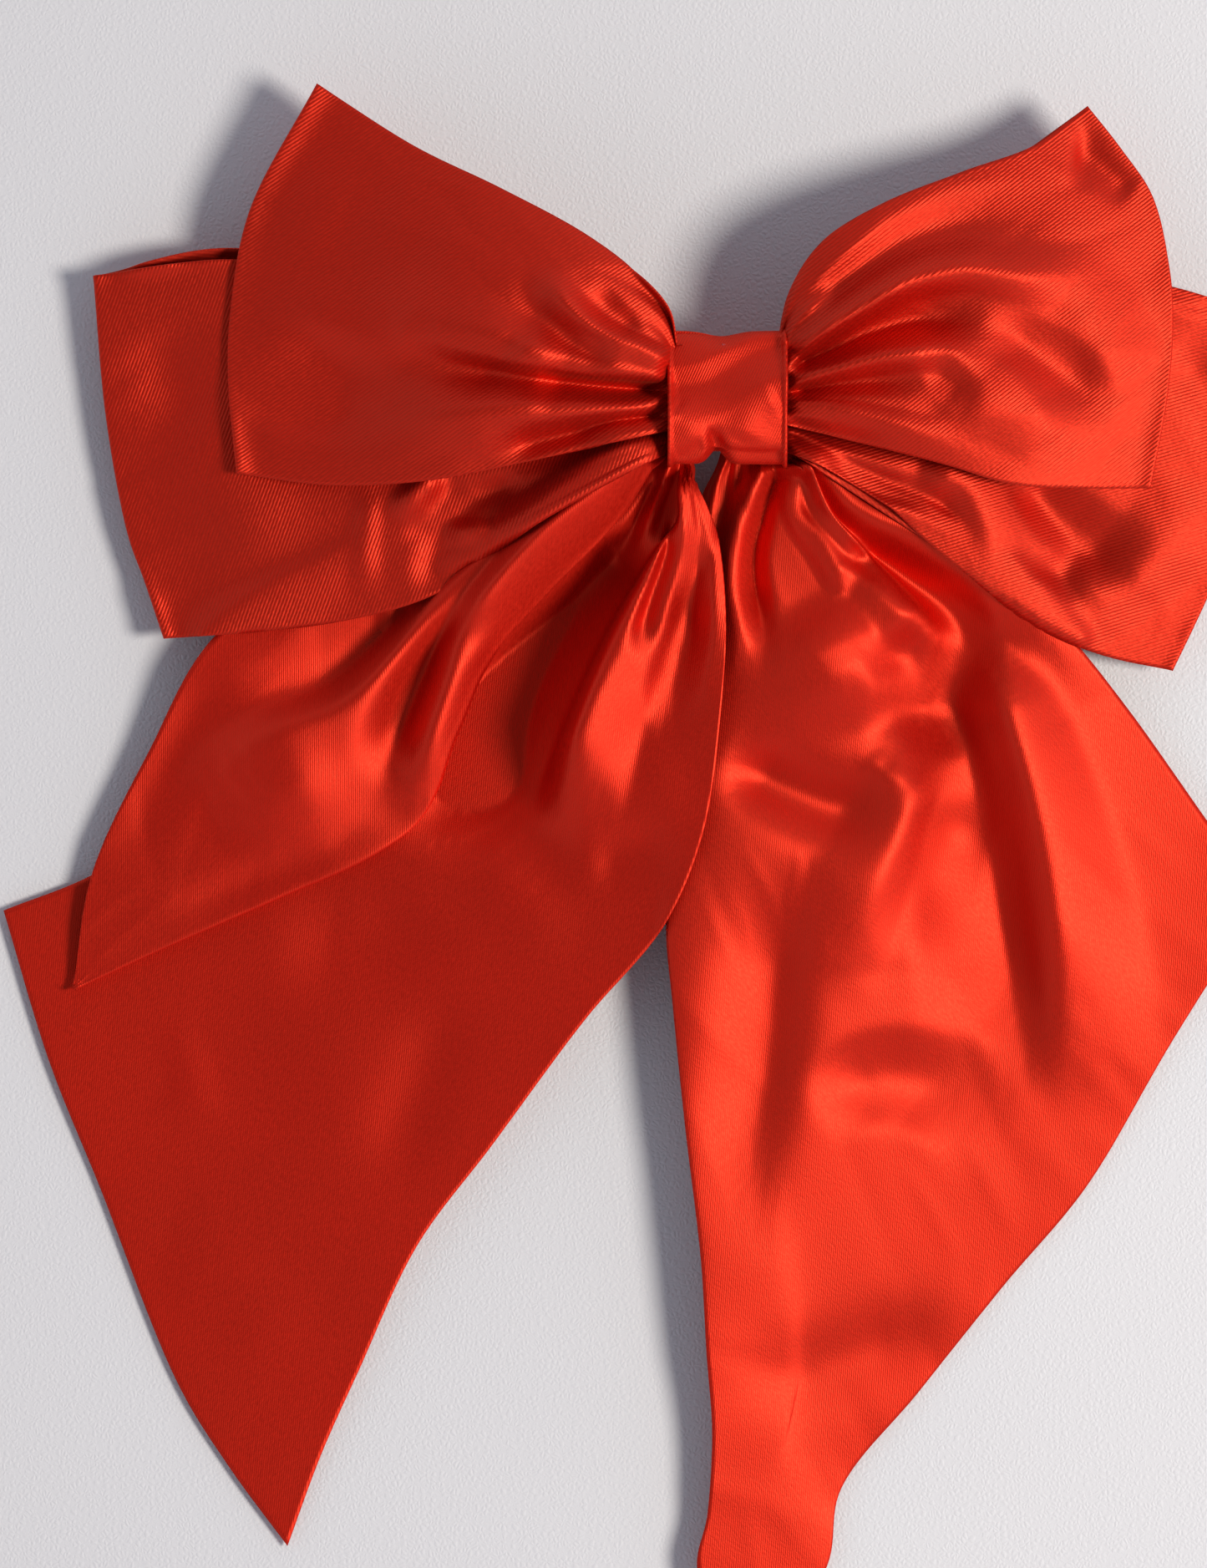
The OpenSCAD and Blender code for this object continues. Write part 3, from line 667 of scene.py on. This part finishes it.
def lower_right():
    fold = [(75.6, -46.1, 5), (80, -37, 4.6), (84.5, -27, 4.8), (92.6, -8, 5.6), (100.9, 11.4, 7)]
    front = layer(
        [(8.5, -9, 15.6), (24, -17, 15.2), (38, -28, 13), (52, -38.6, 9.6), (64, -43.6, 7), fold[0]],
        [(8.5, 8, 15.6), (40, 15, 13.4), (70, 19.6, 10.6), (84, 16.6, 9), fold[-1]],
        fold, 1.8,
    )
    pleats(front, 11, 2.2, 0.34, 31)
    creases(front, [
        ([(9, -5), (20, -9.4), (32, -12.6), (44, -13)], 2, (1.2, 4), (0.05, 0.5), 0.3),
        ([(10, -7), (18, -11.5), (26, -15), (34, -17.4)], -2.6, (1, 2.2), (0.05, 0.45), 0.3),
        ([(9, -8), (17, -13.4), (24, -18.2), (33, -21), (42, -26)],
         3, (1, 2.6), (0.05, 0.4), 0.22, 0, 0.2),
        ([(11, -10), (20, -17), (27, -23), (36, -30)], -2.4, (1, 2.4), (0.06, 0.4), 0.3),
        # A lit band from the roll down to the lower edge, between two dark dents
        ([(32, -12), (40, -15), (44, -23), (46, -33)], 3.2, (3, 5), (0.2, 0.35), 0.4, 0.2),
        ([(49, -11), (54, -18), (61, -25), (71, -31)], -3.6, (3, 4.6), (0.25, 0.35), 0.45, 0.2),
        ([(52, -36), (55, -31), (62, -29)], -2, (2.4, 3.2), (0.3, 0.4), 0.5),
        ([(54, -38), (64, -33), (75, -24), (81, -10)], 1.8, (4, 5), (0.3, 0.4), 0.7),
        ([(74, 8), (82, 2), (88, -10)], -1.4, (4, 4), (0.3, 0.4), 0.8),
        # A small tuck just inside the top edge
        ([(70, 16.5), (82, 14), (98, 9.6)], -0.9, (0.8, 0.9), (0.1, 0.1), 0.2, 0.2),
    ])
    rumple(front, -24, 3.4, 0.28, 37)
    back = layer(
        [(8.5, -8, 13.8), (34, -24.5, 11), (58, -39.5, 6.6), fold[0]],
        [(8.5, 7, 13.8), (46, 14.5, 11), (84, 15, 7.4), fold[-1]],
        fold, 0, BACK_DROP,
    )
    return back, front


# ------- tails

def right_tail():
    cut = [(3, -216, 2.5), (17, -199.6, 1.6), (19.6, -186, 1.4), (33, -169.3, 1.2), (47.3, -151.4, 1),
           (61.6, -134.3, 1), (75.9, -110, 1.4), (91.6, -85, 2.2)]
    sheet = patch(
        [(0, -4, 11), (-1.4, -11, 10.4), (-4, -16.4, 9.8), (-6.2, -25, 9), (-6.6, -34, 8.4), (-7, -50, 8),
         (-9, -72, 8.6), (-10.2, -90, 9.2), (-9.1, -103, 9.6), (-7, -124, 9.8), (-4.4, -146, 9.4),
         (-3.4, -162, 8.4), (-2.4, -176, 7.2), (-3.2, -190, 6), (-4.9, -199.6, 5.5), (3, -216, 3)],
        [(8.5, 5, 11.5), (15, -5, 13), (23, -12.5, 13), (33, -19.5, 12), (46.4, -28, 10.5),
         (58.9, -41, 8), (68.7, -53, 5), (82.3, -72, 2.6), (91.6, -85, 2.2)],
        cut, TAIL_GRID,
    )
    along, across = shares(sheet)
    sheet[..., 2] += 3.0 * np.sin(math.pi * np.clip(along * 1.3, 0, 1)) * np.sin(math.pi * across**0.7)
    pleats(sheet, 9, 2.0, 0.22, 41)
    creases(sheet, [
        # The narrow roll beside the left tail, with a dark groove to its right
        ([(7, -11), (3.4, -18), (1.2, -25), (0.7, -32), (2, -41), (0.4, -52)],
         4, (1.6, 3), (0.04, 0.5), 0.35, 0.1),
        ([(8.4, -12), (6.4, -19), (4.6, -27), (5.4, -36), (7, -44)], -3.4, (1.3, 2.2), (0.05, 0.4), 0.3),
        # Two hooked pleats under the knot and the groove between them
        ([(9.8, -11), (11, -20), (15.3, -26), (20.4, -34.4)],
         3.4, (1.3, 2.4), (0.05, 0.22), 0.2, 0.3, 0.3),
        ([(11, -12), (13.2, -20), (18.5, -26.6), (25.5, -34.5)], -3, (1, 2.2), (0.08, 0.4), 0.3),
        ([(11.6, -10.5), (16, -20.5), (22, -27.4), (30, -36), (38, -44.6)],
         4.4, (1.4, 3.6), (0.05, 0.3), 0.22, -0.35, 0.4),
        # The thick roll along the upper boundary, and the dark hollow that starts under it
        ([(12, -8), (22, -18.5), (34, -24), (45, -31), (57, -42), (66, -54)],
         4, (2.4, 6.5), (0.05, 0.5), 0.35, 0.25),
        ([(20, -24), (30, -30.5), (39, -38), (41, -50), (44, -62)], -5, (2.2, 5), (0.12, 0.4), 0.5),
        ([(36, -44), (41, -60), (45, -78), (48, -98), (50, -122)],
         -5.5, (4, 7.5), (0.2, 0.45), 0.5, -0.45),
        ([(43, -42), (50, -60), (55, -80), (58, -104), (58, -124)],
         5.2, (3.6, 8), (0.15, 0.45), 0.35, 0.45),
        # The big lit dome, with a dark slope below it
        ([(12, -34), (18, -44), (23, -58)], 5.5, (10, 12), (0.4, 0.5), 1),
        ([(27, -38), (33, -48), (33, -62)], -4.6, (4, 6), (0.25, 0.4), 0.6),
        ([(-1, -60), (10, -66), (22, -70), (33, -66)], -4.4, (4.5, 6), (0.25, 0.4), 0.8),
        ([(36, -60), (30, -70), (24, -86), (16, -102)], 3.2, (2.6, 7), (0.25, 0.5), 0.5, -0.3),
        ([(42, -66), (36, -80), (30, -96)], -2.4, (3, 6), (0.3, 0.5), 0.7),
        # Broad soft undulations of the flat end
        ([(16, -76), (9, -92), (7, -110), (4, -130), (6, -150)], -4.2, (6, 7), (0.3, 0.5), 0.9, -0.25),
        ([(14, -122), (24, -116), (36, -117), (50, -124)], -2.5, (4, 6), (0.3, 0.5), 0.7),
        ([(40, -156), (26, -162), (12, -166), (-2, -160)], -1.5, (6, 6), (0.35, 0.4), 0.9),
        ([(6, -206), (14, -196), (22, -188)], 0.4, (4, 4), (0.2, 0.3), 0.9),
        ([(24, -60), (27, -64), (31, -63)], 0.9, (1.8, 1.8), (0.3, 0.4)),
    ])
    rumple(sheet, -62, 5.0, 0.26, 43)
    return sheet


def left_tail_main():
    """The lower layer of the left tail, from its hidden valley fold to its inner edge."""
    cut = [(-74.9, -195.7, 1), (-85, -182, 1), (-93.6, -168, 1), (-107, -134.3, 1), (-115.6, -112.9, 1.2),
           (-123.4, -87.1, 1.4)]
    sheet = patch(
        [(-4.2, -4, 11.5), (-5.7, -11, 12), (-3.4, -16.4, 12.6), (-1.6, -23, 13.2), (-0.2, -37, 14.5),
         (-1, -53, 14.2), (-4.1, -74, 12.6), (-10.6, -89.5, 9.5), (-24.1, -105.7, 7),
         (-39.9, -127.1, 4.6), (-52.7, -144.3, 3.4), (-62.7, -165.7, 2.2), (-69.1, -180, 1.5),
         (-74.9, -195.7, 1)],
        [(-8.5, 1, 11.2), (-26, -9, 9.4), (-50, -22, 5.6), (-78, -47, 2.6), (-96, -72, 1.6),
         (-107.7, -80.7, 1.4), (-123.4, -87.1, 1.4)],
        cut, TAIL_GRID,
    )
    pleats(sheet, 8, 1.8, 0.20, 51)
    creases(sheet, [
        # The deep hollow between the turned-under edge and the inner roll
        ([(-14, -22), (-27, -36), (-39, -50), (-45, -64), (-51, -80)],
         -9.5, (3.5, 11), (0.12, 0.3), 0.6, 0.4),
        # The inner roll: one crest that falls off steeply into the hollow, one beside the knot
        ([(-6.4, -12), (-6, -22), (-9.8, -27.5), (-16.6, -40), (-22, -53), (-26, -65), (-30, -77)],
         7, (1.8, 5.5), (0.05, 0.3), 0.25, 0.35, -0.3),
        ([(-8.6, -20), (-10, -27), (-13, -36), (-15.6, -44)], -3, (1, 1.8), (0.2, 0.3), 0.3, 0, 0.2),
        ([(-9, -10), (-12, -17), (-14.5, -24)], 2.6, (0.9, 1.4), (0.05, 0.3), 0.25),
        ([(-10.5, -13), (-14.5, -20), (-19, -27)], -2, (0.9, 1.6), (0.1, 0.4), 0.3),
        ([(-4, -14), (-2.2, -24), (-2.2, -38), (-3, -50)], 2.6, (1.6, 3.2), (0.05, 0.5), 0.4, 0.2),
        ([(-6, -30), (-6.5, -40), (-9, -50), (-5, -58)], -2.6, (1.8, 3.6), (0.25, 0.4), 0.6),
        ([(-14, -42), (-12, -48), (-17, -56)], 0.9, (2.4, 3), (0.3, 0.5), 0.6),
        ([(-23, -70), (-14, -67), (-5, -63)], 0.6, (4, 4.4), (0.3, 0.4), 0.7),
        ([(-24, -80), (-14, -77), (-8, -73)], -0.8, (3, 3.4), (0.3, 0.4), 0.7),
        # Broad, shallow unevenness of the flat end, and two faint star creases
        ([(-40, -72), (-34, -86), (-24, -94)], 0.5, (5, 6), (0.3, 0.4), 0.9),
        ([(-52, -84), (-60, -92), (-78, -92)], -0.7, (8, 8), (0.3, 0.4), 1),
        ([(-96, -104), (-91, -116), (-90, -128)], 0.18, (2.4, 3), (0.3, 0.5), 0.5),
        ([(-99, -121), (-91, -119.5), (-82, -122)], 0.14, (1.4, 2), (0.4, 0.5)),
        ([(-72, -94), (-66, -112), (-64, -132)], 0.25, (9, 10), (0.4, 0.4), 1),
        ([(-46, -100), (-52, -116), (-60, -138)], -0.6, (5, 6), (0.3, 0.4), 1),
        ([(-98, -146), (-84, -152), (-72, -168)], 0.25, (7, 8), (0.3, 0.4), 1),
    ])
    rumple(sheet, 56, 4.6, 0.26, 53, calm=0.85)
    return sheet


def left_tail_turn():
    """The upper layer: the outer edge of the left tail, turned under itself along a soft ridge."""
    outer = [(-8.5, 5, 12.5), (-30, -8, 12.6), (-60, -24, 10), (-86.7, -40, 7.6), (-98.4, -60, 5.6),
             (-108.2, -81, 4.2), (-111.4, -100.2, 3)]
    ridge = [(-8, -7, 12), (-20, -22, 11.4), (-31, -33.5, 8.4), (-39.6, -43.6, 6.4), (-45, -56, 5),
             (-52, -71, 5), (-60, -77, 5.6), (-77, -84.8, 5), (-95.6, -93, 3.8), (-111.4, -100.4, 3)]
    under = [(-8.2, -2, 11.6), (-26, -12, 9.6), (-48, -28, 6), (-72, -50, 3.6), (-92, -72, 2.4),
             (-100, -82, 2)]
    sheet = patch(ridge, outer, [ridge[-1], outer[-1]], TURN_GRID)
    pleats(sheet, 5, 1.6, 0.34, 61)
    creases(sheet, [
        # The crest that falls off to the fold, and the dark pocket on its far side
        ([(-10, -9), (-20, -17), (-29, -24), (-37, -32.5), (-43, -41), (-45.6, -49), (-50, -61),
          (-55, -73)], 6.5, (2, 5), (0.06, 0.22), 0.22, 0.1, -0.2),
        ([(-40, -34), (-50, -45), (-56, -57), (-59, -67)], -4.2, (2, 4.5), (0.25, 0.35), 0.45, 0.1),
        # The outer crest, steep towards the loops, with a broad lit slope below it
        ([(-10.3, -6), (-25, -16), (-32, -22), (-40, -27.6), (-48.7, -35), (-55.6, -44.6), (-64, -53),
          (-78, -59), (-92, -70)], 5.6, (1.8, 11), (0.06, 0.22), 0.22, 0.5, -0.2),
        ([(-28, -14), (-44, -25), (-57, -38), (-70, -48), (-84, -54)],
         -3.2, (1.6, 5), (0.2, 0.4), 0.45, -0.2),
        ([(-64, -62), (-76, -68), (-88, -74)], 1.3, (6, 6), (0.4, 0.5), 1),
        ([(-56, -30), (-57.5, -36), (-56.5, -41)], 1, (1, 1.2), (0.3, 0.4), 0.3),
        ([(-66, -77), (-80, -82), (-96, -88)], -0.9, (3, 3.4), (0.3, 0.4), 0.9),
        ([(-84, -44), (-94, -60), (-103, -82)], -0.9, (4, 4.4), (0.3, 0.4), 0.9),
    ])
    rumple(sheet, 52, 4.0, 0.26, 63)
    # The under layer, from the ridge back to the valley
    valley = curve(under, TURN_GRID[0])
    first = sheet[:, 0]
    inward = sheet[:, 3] - first
    inward[:, 2] = 0
    inward /= np.maximum(np.linalg.norm(inward, axis=1), 1e-3)[:, None]
    drop = np.minimum(first[:, 2] - valley[:, 2], 3.0) * 0.5
    bend = np.stack([
        first - inward * (drop * 0.55 * math.cos(math.pi * t))[:, None]
        + np.stack([0 * drop, 0 * drop, drop * (math.sin(math.pi * t) - 1)], axis=1)
        for t in np.linspace(0.5, -0.5, 9)
    ], axis=1)
    back = np.stack([lerp(bend[:, -1], valley, s) for s in np.linspace(0, 1, 22)[1:]], axis=1)
    return np.concatenate([back[:, ::-1], bend[:, ::-1], sheet[:, 1:]], axis=1)


# ------- knot

def knot():
    """The band: folded cloth pulled round the gathers, with a pinched lower edge."""
    cols, rows = 60, 160
    half_y = KNOT_Y - 1.2
    top, bottom = KNOT_TOP + 0.9, PLATE_BOTTOM - 0.8
    path = curve([
        (0.0, bottom), (-5.0, bottom + 0.1), (-6.6, bottom + 1.6), (-half_y + 0.8, bottom + 5.4),
        (-half_y - 0.8, top - 5.0), (-half_y - 0.8, top - 2.4), (-half_y + 0.9, top - 0.3), (-5.5, top + 0.9),
        (-1.0, top + 1.2), (3.0, top + 0.5), (7.0, top - 1.5), (half_y - 0.4, top - 4.0),
        (half_y + 0.6, top - 6.8), (half_y - 0.8, bottom + 5.4), (6.6, bottom + 1.6), (5.0, bottom + 0.1),
        (0.0, bottom),
    ], rows)
    across = np.linspace(-1, 1, cols)[None]
    # The band's outward direction, in Y and Z; its folded sides roll down a little
    step = np.gradient(path, axis=0)
    normal = unit(np.stack([-step[:, 1], step[:, 0]], axis=1))
    roll = 0.8 * smooth((np.abs(across) - 0.92) / 0.08) ** 2
    sheet = np.zeros((rows, cols, 3))
    sheet[..., 0] = across * (KNOT_X - 0.1)
    sheet[..., 1] = path[:, 0][:, None] + normal[:, 0][:, None] * roll
    sheet[..., 2] = path[:, 1][:, None] + normal[:, 1][:, None] * roll
    face = sheet[int(0.28 * rows) : int(0.74 * rows)]
    # Pulled a little askew: the upper half leans one way and the lower half the other
    lean = lerp(1.0, -0.8, smooth((face[..., 1] + 3.5) / 6))
    face[..., 2] -= 0.14 * face[..., 0] * lean * smooth((face[..., 2] - 12) / 6)
    creases(face, [
        # A slanting dish across the upper half, and two swells below it
        ([(11, 8.5), (4.4, 6.4), (0, 3.9), (-3.9, 1.8), (-10.5, 0.6)],
         -1.5, (2, 3), (0.1, 0.1), 0.6, 0.2),
        ([(9, -0.5), (4.5, -3.2), (2.4, -8)], 1, (2.4, 3), (0.2, 0.2), 0.8),
        ([(-9, -2), (-6.5, -5), (-5.6, -9)], 0.7, (2, 2.6), (0.2, 0.3), 0.8),
        # The lower edge is pinched up into a small arch, with a turned-down border to its right
        ([(-3.2, -5), (-2.4, -7.6), (-1.8, -11.5)], -2.4, (0.8, 1.8), (0.35, 0), 0.3, 0.2),
        ([(-2, -6.6), (0, -8.8), (3.4, -9.4), (9.6, -9.4)], -1.1, (0.9, 1.2), (0.1, 0.1), 0.3, -0.5),
        ([(-9, -10.2), (-6.2, -9.8), (-4, -8.6)], -0.5, (0.8, 0.9), (0.1, 0.1), 0.3, 0.4),
    ])
    arch = np.exp(-(((sheet[..., 0] + 1.8) / 1.7) ** 2)) * smooth((-sheet[..., 1] - 8.3) / 2.5)
    sheet[..., 1] += 2.6 * arch * (sheet[..., 2] > 12)
    dip = np.exp(-((across + 0.1) ** 2) / 0.12) * smooth((sheet[..., 1] - 7) / 3)
    sheet[..., 1] -= 0.9 * dip
    return sheet


def knot_piece():
    """The band as a piece; the satin lies on its outward face."""
    sheet = knot()
    step = np.linalg.norm(np.diff(sheet, axis=0), axis=2).mean(axis=1)
    round_band = np.concatenate([[0], np.cumsum(step)])
    uv = np.stack([sheet[..., 0], np.repeat(round_band[:, None], sheet.shape[1], 1)], axis=-1)
    return grid_mesh("knot_cloth", sheet[:, ::-1], uv[:, ::-1], KNOT_SATIN, REVERSE, BAND_T)


# ------- laying the cloth

def ready(sheet, under=(), gap=0.5):
    """Smooths a tail's sheet and lays it on the sheets under it and on the table."""
    relax(sheet)
    if under:
        rest_on(sheet, height_map(*under), gap)
    sheet[..., 2] = np.maximum(sheet[..., 2], TABLE_GAP)
    return sheet


def lay(pair, ground):
    """Lays both loops of a pair: each back layer on the ground, and the front layer on the back one."""
    for back, front in pair:
        relax(back)
        relax(front)
        rest_on(back, ground, 0.5)
        rest_on(front, height_map(back), 0.35)
    return pair


def cloth_pieces():
    """The tails and loops, each laid on what is under it; a reversed grid turns its satin side up."""
    right = ready(right_tail())
    left = ready(left_tail_main(), (right,), 0.6)
    turn = ready(left_tail_turn(), (left, right))
    low = lay((lower_left(), lower_right()), height_map(right, left, turn))
    high = lay((upper_left(), upper_right()), height_map(low[0][1], low[1][1], turn))

    tail_right = grid_mesh("tail_ribbon_right", right, cloth_uv(right, -53), RIGHT_SATIN, REVERSE)
    left = left[:, ::-1]
    tail_left = grid_mesh("tail_ribbon_left", left, cloth_uv(left, 56), LEFT_SATIN, REVERSE)
    turn = turn[:, ::-1]
    tail_turn = grid_mesh("tail_ribbon_left_turn", turn, cloth_uv(turn, 62), LEFT_SATIN, REVERSE)
    upper = loop_strip(*high)
    upper_loops = grid_mesh("upper_loops", upper, loop_uv(upper, 4, 8), SATIN, REVERSE)
    lower = loop_strip(*low)
    lower_loops = grid_mesh("lower_loops", lower, loop_uv(lower, 40, -13), SATIN, REVERSE)
    return tail_right, tail_left, tail_turn, upper_loops, lower_loops


# ------- thread and glue

def thread(name, line, radius):
    """Sewing thread along a line in millimetres: two plies twisted together as one lobed tube."""
    sides = 8
    way = unit(np.gradient(line, axis=0))
    side = unit(np.cross(way, [0.0, 0.31, 0.95]))
    up = np.cross(side, way)
    along = lengths(line)
    round_ = np.linspace(0, 2 * math.pi, sides + 1)[None]
    lobes = radius * (0.86 + 0.14 * np.cos(2 * (round_ - 4.0 * along[:, None])))
    grid = (line[:, None] + side[:, None] * (lobes * np.cos(round_))[..., None]
            + up[:, None] * (lobes * np.sin(round_))[..., None])
    uv = np.stack(np.broadcast_arrays(along[:, None], round_ * radius), axis=-1)
    return grid_mesh(name, grid, uv, THREAD, None, 0)


def boxed(angle, power):
    """How much further out than a circle a rounded square is, in each direction."""
    return (np.abs(np.cos(angle)) ** power + np.abs(np.sin(angle)) ** power) ** (-1 / power)


def coil(name, node):
    """Thread wound tightly round a gathered waist, each turn a little slack and uneven."""
    turns = 4
    radius = 0.2
    low, high = cad_mm(node)
    middle = 0.5 * (low + high)
    half_y = 0.5 * (high[1] - low[1]) - radius - 0.6
    half_z = 0.5 * (high[2] - low[2]) - radius
    angle = np.linspace(0, 2 * math.pi * turns, 64 * turns)
    slack = 1 + 0.006 * np.sin(5.3 * angle)
    wander = 0.06 * np.sin(1.7 * angle) + 0.04 * np.sin(4.1 * angle)
    x = np.linspace(low[0] + radius + 0.1, high[0] - radius - 0.1, len(angle)) + wander
    y = middle[1] + half_y * boxed(angle, 2.3) * np.cos(angle) * slack
    z = middle[2] + half_z * boxed(angle, 2.3) * np.sin(angle) * slack
    return thread(name, np.stack([x, y, z], axis=1), radius)


def stitches():
    """Slanting stitches that close the band's lap, each dipping into the cloth at both ends."""
    low, high = cad_mm("knot_band_stitches")
    count = 4
    reach = 2.0
    pitch = (high[0] - low[0] - reach) / (count - 1)
    middle_y = 0.5 * (low[1] + high[1])
    t = np.linspace(0, 1, 14)
    pieces = []
    for k in range(count):
        x = low[0] + k * pitch + reach * t
        y = middle_y + 0.35 * (t - 0.5) + 0.08 * math.sin(2.3 * k)
        z = low[2] + 0.12 + 0.45 * (2 * t - 1) ** 4
        pieces.append(thread(f"band_stitch_{k + 1}", np.stack([x, y, z], axis=1), 0.18))
    return pieces


def glue_bead():
    """Hot glue squeezed out between the gathers and the plate: a low slab with a rounded, lumpy rim."""
    low, high = cad_mm("glue_pad")
    middle = 0.5 * (low + high)
    size = 0.5 * (high - low)
    bearing = np.linspace(0, 2 * math.pi, 81)[None]
    tilt = np.linspace(-math.pi / 2, math.pi / 2, 40)[:, None]
    rim = np.cos(tilt) ** 0.35
    lump = 1 + 0.035 * np.sin(5 * bearing + 1) + 0.02 * np.sin(11 * bearing)
    lump = lump + 0.015 * np.sin(7 * tilt + 3 * bearing)
    skin = 0.97 + 0.03 * np.sin(9 * bearing + 4 * tilt)
    sheet = np.stack([
        middle[0] + size[0] * boxed(bearing, 5) * np.cos(bearing) * rim * (0.96 * lump),
        middle[1] + size[1] * boxed(bearing, 5) * np.sin(bearing) * rim * (0.96 * lump),
        middle[2] + size[2] * np.sin(tilt) * skin,
    ], axis=-1)
    return grid_mesh("glue_bead", sheet, sheet[..., :2], GLUE, None, 0)


# ------- stage

def stage():
    """The table top, which the bow lies on."""
    mesh = bpy.data.meshes.new("table")
    corners = [(x * TABLE_HALF, y * TABLE_HALF, TABLE_Z) for x, y in ((-1, -1), (1, -1), (1, 1), (-1, 1))]
    mesh.from_pydata(corners, [], [(0, 1, 2, 3)])
    mesh.materials.append(table_leather())
    table = bpy.data.objects.new("table", mesh)
    bpy.context.collection.objects.link(table)


def window():
    """Soft daylight from the right, at a slant."""
    place = Vector((0.92, -0.18, 1.02))
    aim = Vector((-0.02, -0.06, 0.01))
    data = bpy.data.lights.new("window", "AREA")
    data.shape = "DISK"
    data.size = 0.42
    data.energy = 19.4
    data.color = (1.0, 0.96, 0.90)
    lamp = bpy.data.objects.new("window", data)
    lamp.location = place
    lamp.rotation_euler = (aim - place).to_track_quat("-Z", "Y").to_euler()
    bpy.context.collection.objects.link(lamp)


def room():
    """Cool daylight of a room: brighter from the sides than from the ceiling."""
    world = bpy.data.worlds.new("room")
    world.use_nodes = True
    nodes, links = world.node_tree.nodes, world.node_tree.links
    coords = nodes.new("ShaderNodeTexCoord")
    split = nodes.new("ShaderNodeSeparateXYZ")
    links.new(coords.outputs["Generated"], split.inputs[0])
    height = nodes.new("ShaderNodeMapRange")
    height.interpolation_type = "SMOOTHSTEP"
    links.new(split.outputs["Z"], height.inputs["Value"])
    mix = nodes.new("ShaderNodeMix")
    mix.data_type = "RGBA"
    mix.inputs["A"].default_value = (0.98, 1.00, 1.18, 1)
    mix.inputs["B"].default_value = (0.110, 0.114, 0.135, 1)
    links.new(height.outputs["Result"], mix.inputs["Factor"])
    links.new(mix.outputs["Result"], nodes["Background"].inputs["Color"])
    bpy.context.scene.world = world


def camera():
    """Looks straight down at the bow from far off, so that it's seen almost without perspective."""
    distance = 1.5
    seen_height = 0.2681
    data = bpy.data.cameras.new("camera")
    data.sensor_width = 36
    data.lens = data.sensor_width * distance / seen_height
    data.clip_end = 10
    eye = bpy.data.objects.new("camera", data)
    eye.location = (-0.0209, -0.0655, distance)
    bpy.context.collection.objects.link(eye)
    bpy.context.scene.camera = eye


# ------- the whole bow

STEEL_NODES = ("hinge_pin", "tension_spring", "plate_rivets")
THREAD_NODES = ("upper_gathering_thread", "lower_gathering_thread", "tail_gathering_thread")
CLOTH_NODES = ("upper_loop_strip", "lower_loop_strip", "tail_strip", "knot_band")
SOFT_NODES = CLOTH_NODES + THREAD_NODES + ("knot_band_stitches", "glue_pad")


def dress_metal():
    """Gives the clip's CAD parts their plating or brushed steel."""
    for node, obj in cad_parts.items():
        if node in SOFT_NODES:
            continue
        for part in obj.material_slots:
            part.material = STEEL if node in STEEL_NODES else PLATED


def thread_and_glue():
    """The windings, the band's stitches and the glue, each in place of its CAD solid."""
    for node in THREAD_NODES:
        winding = coil(node.replace("gathering_thread", "thread_winding"), node)
        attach(winding, "bow")
        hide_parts(node)
    sewn = stitches()
    for stitch in sewn:
        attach(stitch, "bow")
    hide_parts("knot_band_stitches")
    glue = glue_bead()
    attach(glue, "bow")
    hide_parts("glue_pad")


stage()
camera()
window()
room()
bpy.context.scene.view_settings.view_transform = "Standard"
dress_metal()
tail_right, tail_left, tail_turn, upper, lower = cloth_pieces()
knot_cloth = knot_piece()
thread_and_glue()
for piece in (tail_right, tail_left, tail_turn, upper, lower, knot_cloth):
    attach(piece, "bow")
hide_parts("upper_loop_strip")
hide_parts("lower_loop_strip")
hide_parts("tail_strip")
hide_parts("knot_band")
